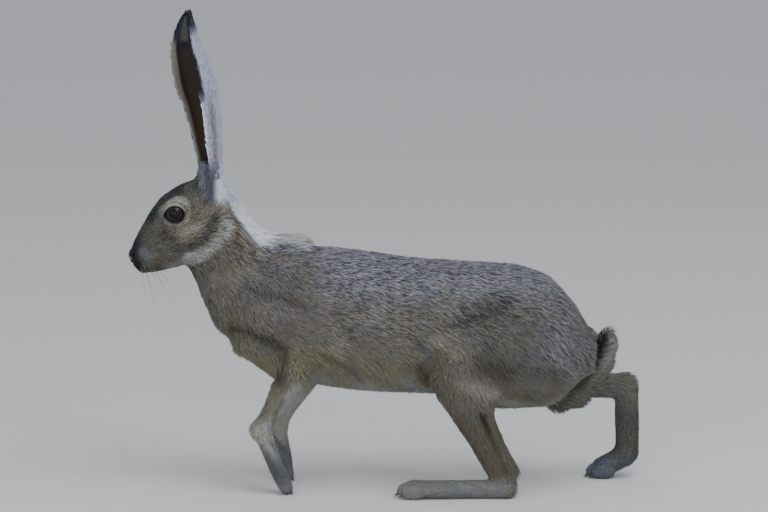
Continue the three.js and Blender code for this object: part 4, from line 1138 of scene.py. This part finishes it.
def make_coat(points, faces, toes, material):
    """Tufts over the whole skin, sized by the coat's depth at each root, and guard hairs over them."""
    roots, normal, lie, depth, colours, ticking, where = hair_at(points, faces, crowd_on, 11)
    length = np.where(where == "coat_tail", TAIL_TUFT, 1.8 + depth * 2.0)
    width = 0.34 + 0.17 * depth
    for k, name in enumerate(sorted(set(where))):
        here = np.flatnonzero(where == name)
        made, tints = tufts(roots[here], normal[here], lie[here], depth[here], length[here], width[here],
                            colours[here], ticking[here] * 0.7, 100 + k, 5.0)
        sets = [(made, tints, normal[here], unwrapped(name, roots[here]))]
        if name == "coat_hind_legs":
            sets.append(toe_tufts(*toes))
        coat_piece(name, sets, material)
    roots, normal, lie, depth, colours, ticking, where = hair_at(points, faces, guard_crowd, 12)
    length = 1.6 + depth * 1.15
    width = 0.30 + 0.085 * depth
    for k, name in enumerate(sorted(set(where))):
        here = np.flatnonzero(where == name)
        made, tints = guard_hairs(roots[here], normal[here], lie[here], depth[here], length[here],
                                  width[here], colours[here], ticking[here], 200 + k)
        sets = [(made, tints, normal[here], unwrapped(name, roots[here]))]
        coat_piece(name.replace("coat", "guard_hair"), sets, material, HAIR_FACES, HAIR_PATCH)


def toe_tufts(points, faces):
    """Short hair over the toes, lying toward the claws."""
    normals = vertex_normals(points, faces)
    roots, face, share = scatter(points, faces, lambda p: 0.9 * (p[:, 2] > 1.2), 31)
    normal = unit((normals[faces[face]] * share[:, :, None]).sum(1))
    fore = roots[:, 0] < -50
    lie = np.where(fore[:, None], (0.2, 0, -1.0), (-1.0, 0, -0.25))
    colours, ticking = markings(roots, normal)
    depth = np.full(len(roots), 0.9)
    tuft_points, tints = tufts(roots, normal, lie, depth, depth * 3.6, depth * 0.9, colours, ticking * 0.5,
                               32,
                               3.0, 0.35)
    return tuft_points, tints, normal, unwrapped("coat_hind_legs", roots)


# Ears.
# Rows of the ear: height, place along and aside of its middle line, radius, and half turn of the cup.
EAR_LOW, EAR_TOP = 290.0, 440.2
EAR_TALL = 151
EAR_TUFTS = 8200
EAR_ROWS = np.array([
    (290, -160.8, 15.5, 10.2, 131), (308, -162.2, 16, 11.3, 131), (322, -163.8, 17, 12.9, 130),
    (355, -169.7, 20.3, 16.1, 121), (377, -176.3, 22.6, 19, 112), (395, -181.2, 23, 17.8, 104),
    (415, -185.1, 22, 13.7, 101), (430, -184.6, 20.6, 8.6, 98), (437.5, -183.2, 20, 4.6, 95),
    (441, -182.4, 19.8, 1.8, 92),
])
EAR_AT, EAR_LINE = smooth_rows((EAR_ROWS[:, 0] - EAR_LOW) / EAR_TALL, EAR_ROWS[:, 1:])


def ear_surface(side, z, turn, inset):
    """Point of the ear's cup at a height and a share round it from -1 (front rim) to 1 (outer rim).

    The cup is part of a circle about the ear's middle line, its facing turned out by the tilt."""
    share = (z - EAR_LOW) / EAR_TALL
    x, y, r, reach = (np.interp(share, EAR_AT, row) for row in EAR_LINE)
    angle = np.radians(reach) * turn - EAR_TILT
    r = r - inset * np.minimum(1, r / 7)
    return np.stack([x + r * np.cos(angle), side * (y + r * np.sin(angle)), z], -1)


def ear_colour(z, turn, inner):
    """Colour of the ear: pale back with a brown streak, black tip and upper outer edge, dark brown inside,
    darkened partly as painted shade within the cup.
    """
    colour = np.tile(COLOURS["ear_back"], z.shape + (1,))

    def put(name, amount):
        nonlocal colour
        colour = colour + (COLOURS[name] - colour) * np.clip(amount, 0, 1)[..., None]

    put("ear_streak", np.exp(-(((turn - 0.72) / 0.13) ** 2)) * (1 - step(z, 345, 380)) * 0.9)
    put("white", step(turn, 0.93, 0.98) * (1 - step(z, 352, 364)) * step(z, 306, 314))
    put("black", step(turn, 0.82, 0.92) * step(z, 356, 372))
    put("bluish", step(z - 2 * turn, 414, 427))
    put("black", step(z + 10 * np.abs(turn), 432, 442))
    put("light", (1 - step(turn, -0.98, -0.88)) * (1 - step(z, 404, 418)) * 0.9)
    put("ear_base", (1 - step(z, 292, 312)) * (np.abs(turn) > 0.55))
    outside = colour
    # inside: dark brown, partly painted shade within the cup
    colour = np.tile(COLOURS["ear_inside"], z.shape + (1,))
    put("ear_deep", 1 - step(z, 300, 400))
    put("bluish", 1 - step(z, 294, 316))
    tip = step(z, 414.5, 418.5)
    put("ear_tip", tip * (1 - step(np.abs(turn), 0.5, 0.8)))
    put("bluish", tip * step(np.abs(turn), 0.5, 0.8))
    put("black", np.exp(-(((z - 413) / 3.2) ** 2)) * 0.9)
    put("black", np.exp(-(((turn + 0.72) / 0.06) ** 2)) * step(z, 330, 380) * (1 - step(z, 412, 420)) * 0.8)
    put("light", (1 - step(turn, -0.86, -0.76)) * step(z, 296, 306) * (1 - step(z, 410, 420)) * 0.85)
    put("black", step(turn, 0.78, 0.9) * step(z, 352, 372))
    return colour if inner else outside


def make_ear(side, material):
    """Ear shell: outer and inner sheets of the cup, closed over the rim, with veins raised on the inside."""
    rows, columns = 90, 56
    climb = np.linspace(0, 1, rows)
    z = EAR_LOW + (EAR_TOP - EAR_LOW) * (1.25 * climb - 0.25 * climb**2.4)
    turn = np.linspace(-1, 1, columns)
    height, across = np.meshgrid(z, turn, indexing="ij")
    edge = np.sqrt(np.clip(1 - across**4, 0, 1))
    vein = np.sin(across * 9 + height * 0.06) * np.sin(height * 0.11 + across * 4)
    outer = ear_surface(side, height, across, 1.2)
    inner = ear_surface(side, height, across, 1.35 + 1.25 * edge + 0.12 * vein)
    loop = np.concatenate([outer, inner[:, ::-1]], 1)
    points, faces = tube(loop)
    outside = ear_colour(height, across, False)
    inside = ear_colour(height, across, True)
    colours = np.concatenate([outside, inside[:, ::-1]], 1).reshape(-1, 3)
    colours = np.concatenate([colours, colours[:1], colours[-1:]])
    if side > 0:
        faces = faces[:, ::-1]
    piece = mesh_piece("ear_shell_" + SIDE_NAME[side], points, faces, material, colours)
    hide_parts("ear_" + SIDE_NAME[side])


def ear_tufts(side, seed):
    """Hair of one ear: close short hair up the back, and a fringe along both rims."""
    rng = np.random.default_rng(seed)
    z = EAR_LOW - 2 + (EAR_TOP - EAR_LOW) * rng.uniform(0, 1, EAR_TUFTS) ** 1.08
    turn = rng.uniform(-1, 1, EAR_TUFTS)
    share = np.clip((z - EAR_LOW) / EAR_TALL, 0, 1)
    breadth = np.interp(share, EAR_AT, EAR_LINE[2])
    keep = rng.uniform(0, 1, EAR_TUFTS) < 0.25 + 0.75 * breadth / 19
    z, turn = np.clip(z[keep], EAR_LOW, EAR_TOP - 0.4), turn[keep]
    here = ear_surface(side, z, turn, 1.2)
    ahead = ear_surface(side, z + 0.5, turn, 1.2)
    beside = ear_surface(side, z, turn + 0.02, 1.2)
    lie = unit(ahead - here)
    normal = unit(np.cross(beside - here, lie) * side)
    colours = ear_colour(z, turn, False)
    depth = np.full(len(z), 1.0)
    sets = [(here, normal, lie, depth, np.full(len(z), 5.2), np.full(len(z), 0.9), colours,
             np.full(len(z), 0.12))]
    for rim, long, many in ((-1, 3.2, 520), (1, 1.5, 420)):
        z = rng.uniform(EAR_LOW + 6, EAR_TOP - 3, many)
        turn = np.full(many, rim * 0.985)
        here = ear_surface(side, z, turn, 1.6)
        ahead = ear_surface(side, z + 0.5, turn, 1.6)
        back = ear_surface(side, z, turn * 0.94, 1.6)
        normal = unit(here - ear_surface(side, z, turn * 0.0, 12.0))
        normal = unit(normal + (0, side * (1.4 if rim < 0 else 0.0), 0))
        lie = unit(unit(ahead - here) + unit(here - back) * rng.uniform(0.08, 0.4, (many, 1)))
        colours = ear_colour(z, turn, False)
        sets.append((here, normal, lie, np.full(many, 0.8), np.full(many, long), np.full(many, 0.7), colours,
                     np.full(many, 0.1)))
    made = []
    for k, (here, normal, lie, depth, length, width, colours, ticking) in enumerate(sets):
        points, tints = tufts(here, normal, lie, depth, length, width, colours, ticking, seed + k, 3.0)
        corner = (0.01 if side < 0 else 0.51, 0.01)
        box = (corner, (corner[0] + 0.48, 0.99))
        places = unwrap(here, (-163, side * 16, 288), (-182, side * 20, 441), box)
        made.append((points, tints, normal, places))
    return made


# Eyes and lids.
def make_eye(side, material):
    """Eyeball with a raised cornea: a sphere whose radius grows a little round its outward pole."""
    rows, columns = 40, 56
    v, u = np.meshgrid(np.linspace(0.02, math.pi - 0.02, rows),
                       np.linspace(0, 2 * math.pi, columns, endpoint=False),
                       indexing="ij")
    radius = EYE_RADIUS - 0.15 + 0.55 * np.exp(-((v / 0.55) ** 2))
    points = np.stack([radius * np.sin(v) * np.cos(u), radius * np.cos(v), radius * np.sin(v) * np.sin(u)],
                      -1)
    points = points * (1, side, 1) + EYE * (1, side, 1)
    points, faces = tube(points)
    if side < 0:
        faces = faces[:, ::-1]
    piece = mesh_piece("eyeball_" + SIDE_NAME[side], points, faces, material)
    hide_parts("eye_" + SIDE_NAME[side])


def skin_height(u, w):
    """How far outward from the eye's middle the bare skin stands, with no socket, at places beside it."""
    near, far = np.full(u.shape, -12.0), np.full(u.shape, 24.0)
    for _ in range(22):
        middle = (near + far) / 2
        places = EYE + np.stack([-u, middle, w], -1)
        flat = places.reshape(-1, 3)
        total = np.full(len(flat), 60.0)
        for bar in BODY:
            total = join(total, bar.measure(flat)[0], bar.blend)
        inside = (total + EYE_COAT < 0).reshape(u.shape)
        near, far = np.where(inside, middle, near), np.where(inside, far, middle)
    return near


def make_lids(side, material):
    """Ring of lids: its inner edge rolls over the eyeball and its outer part runs out along the skin.

    Round the eye the opening is an oval whose front corner is drawn forward and down. Each place takes the
    higher of the ball's surface and the skin's, plus the lid's own thickness."""
    angle = np.linspace(0, 2 * math.pi, 96, endpoint=False)
    corner = np.exp(-((np.minimum(angle, 2 * math.pi - angle) / 0.40) ** 2))
    u = (LID_LONG + 1.5 * corner) * np.cos(angle)
    w = LID_HIGH * np.sin(angle) - 1.7 * corner
    profile = [(0.93, -1.2), (0.955, 0.1), (0.99, 0.62), (1.04, 0.75), (1.10, 0.5), (1.18, 0.0), (1.30, -0.8),
               (1.45, -1.7), (1.35, -2.6), (1.1, -2.6)]
    share, lift = np.array(profile).T[:, :, None]
    along, tall = u * share, w * share
    ball = np.sqrt(np.maximum((EYE_RADIUS + 0.1) ** 2 - (along**2 + tall**2), 0.5))
    skin = skin_height(along, tall)
    height = np.maximum(ball, skin) + lift
    rows = np.stack([-along, height, tall], -1).transpose(1, 0, 2)
    rows = rows * (1, side, 1) + EYE * (1, side, 1)
    faces = grid_faces(*rows.shape[:2], rows.shape[0])
    if side > 0:
        faces = faces[:, ::-1]
    dark = 1 - step(share + 0 * along, 1.03, 1.12)
    above = (step(tall, 1, 5) * 0.8)[..., None]
    colours = COLOURS["brown"] * (1 - above) + COLOURS["cream"] * above
    colours = colours * (1 - dark[..., None]) + COLOURS["rim"] * dark[..., None]
    colours = colours.transpose(1, 0, 2).reshape(-1, 3)
    mesh_piece("lids_" + SIDE_NAME[side], rows.reshape(-1, 3), faces, material, colours)


# Whiskers and claws.
def bristle(start, way, length, thick, droop, sides=5, steps=9):
    """Thin bristle: a tube whose half thickness runs to a point, bending by droop along its length."""
    t = np.linspace(0, 1, steps)[:, None]
    way = unit(np.array(way, float))
    line = np.array(start) + way * length * t + np.array([0.15, 0, -1.0]) * droop * t**2
    across = unit(np.cross(way, (0.2, 0.3, 1.0)))
    other = np.cross(way, across)
    turn = np.linspace(0, 2 * math.pi, sides, endpoint=False)
    size = thick * (1 - 0.9 * t)[:, :, None]
    ring = across * np.cos(turn)[None, :, None] + other * np.sin(turn)[None, :, None]
    return tube(line[:, None] + ring * size)


def surface_beside(back, rise, side):
    """Where a sideways line through a place on the head meets the skin, by halving."""
    near, far = 0.0, 40.0
    for _ in range(24):
        middle = (near + far) / 2
        inside = skin_at(np.array([on_head(back, middle * side, rise)]))[0] < 0
        near, far = (middle, far) if inside else (near, middle)
    return np.array(on_head(back, near * side, rise))


def make_whiskers(pale, dark):
    """Three rows of whiskers on each lip, the hind ones longer, a few over the eye and on the cheek."""
    rng = np.random.default_rng(5)
    made = {"whiskers_pale": [], "whiskers_dark": []}
    for side in SIDES:
        for row in range(3):
            for k in range(4):
                root = surface_beside(8 + 3.1 * k + rng.uniform(-0.6, 0.6), -5.5 - 2.6 * row - 0.25 * k, side)
                way = (0.18 + 0.16 * k + rng.uniform(-0.1, 0.1), side * (0.55 + 0.1 * row),
                       -1.0 + 0.16 * (2 - row))
                length = 36 + 7.5 * k + rng.uniform(-6, 6)
                key = "whiskers_dark" if (row + k) % 3 == 0 else "whiskers_pale"
                made[key].append(bristle(root, way, length, 0.1, 4 + rng.uniform(0, 6)))
        for k in range(3):
            root = surface_beside(40 + 3.5 * k, 29 - 0.5 * k, side)
            made["whiskers_dark"].append(bristle(root, (0.55, side * 0.75, 0.8), 26 + 4 * k, 0.17, 3))
        root = surface_beside(60, -6, side)
        made["whiskers_dark"].append(bristle(root, (0.6, side * 0.8, -0.6), 20, 0.15, 3))
    for name, material in (("whiskers_pale", pale), ("whiskers_dark", dark)):
        points, faces = joined(made[name])
        mesh_piece(name, points, faces, material)


def make_claws(claws, material):
    """Claws: short curved cones from the toe tips, kept above the floor."""
    made = []
    for start, way in claws:
        t = np.linspace(0, 1, 8)[:, None]
        line = start - way * 1.5 + way * 6.2 * t + np.array([0, 0, -1.0]) * 1.1 * t**2
        across = np.array([0, 1.0, 0])
        other = np.cross(way, across)
        turn = np.linspace(0, 2 * math.pi, 8, endpoint=False)
        size = (1.15 * (1 - t) ** 0.8 + 0.06)[:, :, None]
        ring = across * 0.75 * np.cos(turn)[None, :, None] + other * np.sin(turn)[None, :, None]
        rows = line[:, None] + ring * size
        rows[..., 2] = np.maximum(rows[..., 2], 0.25)
        made.append(tube(rows))
    points, faces = joined(made)
    mesh_piece("claws", points, faces, material)


# Materials.
def feed(tree, node, inputs):
    """Inputs of a node by name or number: a value is set there, and a socket is linked."""
    for key, value in inputs.items():
        if isinstance(value, bpy.types.NodeSocket):
            tree.links.new(value, node.inputs[key])
        else:
            node.inputs[key].default_value = value


def add_node(tree, kind, inputs=(), **settings):
    """A new node of a tree, with its settings and inputs."""
    node = tree.nodes.new(kind)
    for name, value in settings.items():
        setattr(node, name, value)
    feed(tree, node, dict(inputs))
    return node


def new_material(name):
    """A material with its node tree and its Principled BSDF."""
    material = bpy.data.materials.new(name)
    material.use_nodes = True
    return material, material.node_tree, material.node_tree.nodes["Principled BSDF"]


def ramp_of(tree, factor, stops):
    """A colour ramp over a factor, from stops of (position, colour)."""
    ramp = add_node(tree, "ShaderNodeValToRGB", {"Fac": factor})
    elements = ramp.color_ramp.elements
    for element, (position, colour) in zip(elements, (stops[0], stops[-1])):
        element.position, element.color = position, (*colour, 1)
    for position, colour in stops[1:-1]:
        elements.new(position).color = (*colour, 1)
    return ramp.outputs["Color"]


def hair_grain():
    """Shader group: a picked colour broken up by fine and slow noise, with a height for bumps."""
    group = bpy.data.node_groups.new("hair grain", "ShaderNodeTree")
    for way, sockets in (("INPUT", ("Colour", "Fine", "Contrast")),
                         ("OUTPUT", ("Colour", "Roughness", "Height"))):
        for name in sockets:
            kind = "NodeSocketColor" if name == "Colour" else "NodeSocketFloat"
            group.interface.new_socket(name, in_out=way, socket_type=kind)
    enter, leave = group.nodes.new("NodeGroupInput"), group.nodes.new("NodeGroupOutput")
    place = add_node(group, "ShaderNodeTexCoord").outputs["Object"]
    noise = add_node(group, "ShaderNodeTexNoise", {"Detail": 3, "Vector": place,
                                                   "Scale": enter.outputs["Fine"]})
    fleck = noise.outputs["Fac"]
    centred = add_node(group, "ShaderNodeMath", {0: fleck, 1: 0.5}, operation="SUBTRACT").outputs[0]
    scaled = add_node(group, "ShaderNodeMath", {0: centred, 1: enter.outputs["Contrast"], 2: 1.0},
                      operation="MULTIPLY_ADD").outputs[0]
    tint = add_node(group, "ShaderNodeVectorMath", {0: enter.outputs["Colour"], "Scale": scaled},
                    operation="SCALE")
    rough = add_node(group, "ShaderNodeMapRange", {"To Min": 0.62, "To Max": 0.9, "Value": fleck})
    feed(group, leave, {"Colour": tint.outputs[0], "Roughness": rough.outputs[0], "Height": fleck})
    return group


def furred(name, group, fine, contrast, bump, sheen):
    """Material that takes the marking colours from the mesh, with the hair grain over them."""
    material, tree, surface = new_material(name)
    colour = add_node(tree, "ShaderNodeAttribute", attribute_name="coat_colour").outputs["Color"]
    grain = add_node(tree, "ShaderNodeGroup", node_tree=group)
    feed(tree, grain, {"Fine": fine, "Contrast": contrast, "Colour": colour})
    height = add_node(tree, "ShaderNodeBump",
                      {"Strength": bump, "Distance": 0.0006, "Height": grain.outputs["Height"]})
    feed(tree, surface, {"Base Color": grain.outputs["Colour"], "Roughness": grain.outputs["Roughness"],
                         "Normal": height.outputs["Normal"], "Specular IOR Level": 0.25,
                         "Sheen Weight": sheen, "Sheen Roughness": 0.5})
    return material


def plain_noise(name, low_colour, high_colour, scale, roughness, bump, coat=0.0):
    """Material of two mixed colours over noise on Object coordinates, with a bump of the same noise."""
    material, tree, surface = new_material(name)
    place = add_node(tree, "ShaderNodeTexCoord").outputs["Object"]
    noise = add_node(tree, "ShaderNodeTexNoise", {"Scale": scale, "Detail": 4,
                                                  "Vector": place}).outputs["Fac"]
    height = add_node(tree, "ShaderNodeBump", {"Strength": bump, "Distance": 0.0004, "Height": noise})
    feed(tree, surface, {"Base Color": ramp_of(tree, noise, [(0.35, low_colour), (0.68, high_colour)]),
                         "Normal": height.outputs["Normal"], "Roughness": roughness, "Coat Weight": coat})
    return material


# Colours of the eye outward from the middle of the pupil, at shares of 10 mm.
EYE_STOPS = [
    (0.0, (0.003, 0.003, 0.006)), (0.47, (0.004, 0.004, 0.007)), (0.53, (0.014, 0.010, 0.008)),
    (0.60, (0.028, 0.021, 0.015)), (0.68, (0.016, 0.012, 0.009)), (0.75, (0.008, 0.006, 0.005)),
]


def eye_material(side):
    """Wet eye: dark pupil, brown streaked iris and a dark outer ring, by distance from the eye's axis."""
    material, tree, surface = new_material("eye " + SIDE_NAME[side])
    middle = EYE * (1, side, 1) + SHIFT
    place = add_node(tree, "ShaderNodeTexCoord").outputs["Object"]
    centre = add_node(tree, "ShaderNodeMapping", {"Location": (-middle[0], 0, -middle[2]),
                                                  "Scale": (1000, 0, 1000),
                                                  "Vector": place}).outputs[0]
    far = add_node(tree, "ShaderNodeVectorMath", {0: centre}, operation="LENGTH").outputs["Value"]
    streak = add_node(tree, "ShaderNodeTexNoise", {"Scale": 1.6, "Detail": 4,
                                                   "Vector": centre}).outputs["Fac"]
    wobble = add_node(tree, "ShaderNodeMath", {0: streak, 1: 0.9, 2: -0.45},
                      operation="MULTIPLY_ADD").outputs[0]
    total = add_node(tree, "ShaderNodeMath", {0: far, 1: wobble}, operation="ADD").outputs[0]
    share = add_node(tree, "ShaderNodeMath", {0: total, 1: 10.0}, operation="DIVIDE").outputs[0]
    feed(tree, surface, {"Base Color": ramp_of(tree, share, EYE_STOPS), "Roughness": 0.08,
                         "Specular IOR Level": 0.22})
    return material


# Camera, light and floor.
CAMERA_ELEVATION = math.radians(9)
CAMERA_FAR = 3.2
VIEW_WIDE = 0.7066
VIEW_MIDDLE = np.array([-2.8, 0.0, 217.0])
AIR = (0.90, 0.95, 1.0, 1)
AIR_STRENGTH = 0.60
# Name, place in metres, width and power of each lamp.
LAMPS = [
    ("over", (0.6, -0.8, 1.9), 1.4, 18), ("front", (-1.5, -1.6, 0.9), 1.0, 5),
    ("side", (-0.3, -2.6, 0.8), 1.6, 14), ("spark", (1.15, -1.5, 0.75), 0.25, 3.5),
]


def set_camera():
    """Camera at the viewing angle: square on to the left side, nine degrees above the level."""
    camera = bpy.data.cameras.new("camera")
    camera.sensor_width = 36
    camera.lens = 36 * CAMERA_FAR / VIEW_WIDE
    item = bpy.data.objects.new("camera", camera)
    aim = Vector((VIEW_MIDDLE + SHIFT) / 1000.0)
    away = Vector((0, -math.cos(CAMERA_ELEVATION), math.sin(CAMERA_ELEVATION)))
    item.location = aim + away * CAMERA_FAR
    item.rotation_euler = (math.pi / 2 - CAMERA_ELEVATION, 0, 0)
    bpy.context.scene.collection.objects.link(item)
    bpy.context.scene.camera = item


def set_light():
    """Soft studio light: a pale surround, broad lamps above and on the near side, a small one for the eye."""
    world = bpy.data.worlds.new("studio")
    world.use_nodes = True
    world.node_tree.nodes["Background"].inputs["Color"].default_value = AIR
    world.node_tree.nodes["Background"].inputs["Strength"].default_value = AIR_STRENGTH
    bpy.context.scene.world = world
    for name, place, size, power in LAMPS:
        light = bpy.data.lights.new(name, "AREA")
        light.shape = "DISK"
        light.energy, light.size = power, size
        item = bpy.data.objects.new(name, light)
        item.location = place
        item.rotation_euler = (Vector((0, 0, 0.2)) - Vector(place)).to_track_quat("-Z", "Y").to_euler()
        bpy.context.scene.collection.objects.link(item)


def set_floor():
    """Plain pale floor, a large flat sheet just under the soles."""
    mesh = bpy.data.meshes.new("floor")
    mesh.from_pydata([(-60, -60, 0), (60, -60, 0), (60, 60, 0), (-60, 60, 0)], [], [(0, 1, 2, 3)])
    floor = bpy.data.objects.new("floor", mesh)
    bpy.context.scene.collection.objects.link(floor)
    mesh.materials.append(plain_noise("floor", (0.72, 0.72, 0.72), (0.74, 0.74, 0.737), 60, 0.9, 0.02))


grain = hair_grain()
coat = furred("coat", grain, 900, 0.25, 0.15, 0.0)
skin_fur = furred("skin fur", grain, 1300, 0.9, 0.5, 0.1)
ear_skin = furred("ear skin", grain, 700, 0.5, 0.35, 0.1)
lid_skin = furred("lid skin", grain, 1500, 0.4, 0.3, 0.0)
horn = plain_noise("claw horn", (0.03, 0.024, 0.02), (0.10, 0.085, 0.07), 700, 0.35, 0.2, 0.2)
pale_bristle = plain_noise("pale bristle", (0.16, 0.155, 0.15), (0.24, 0.235, 0.23), 300, 0.5, 0.0)
dark_bristle = plain_noise("dark bristle", (0.02, 0.018, 0.017), (0.05, 0.045, 0.042), 300, 0.4, 0.0)

set_camera()
set_light()
set_floor()
skin_points, skin_faces, toe_mesh, claw_places = make_skin(skin_fur)
make_coat(skin_points, skin_faces, toe_mesh, coat)
for side in SIDES:
    make_ear(side, ear_skin)
    make_eye(side, eye_material(side))
    make_lids(side, lid_skin)
coat_piece("coat_ears", ear_tufts(-1, 51) + ear_tufts(1, 61), coat)
make_whiskers(pale_bristle, dark_bristle)
make_claws(claw_places, horn)
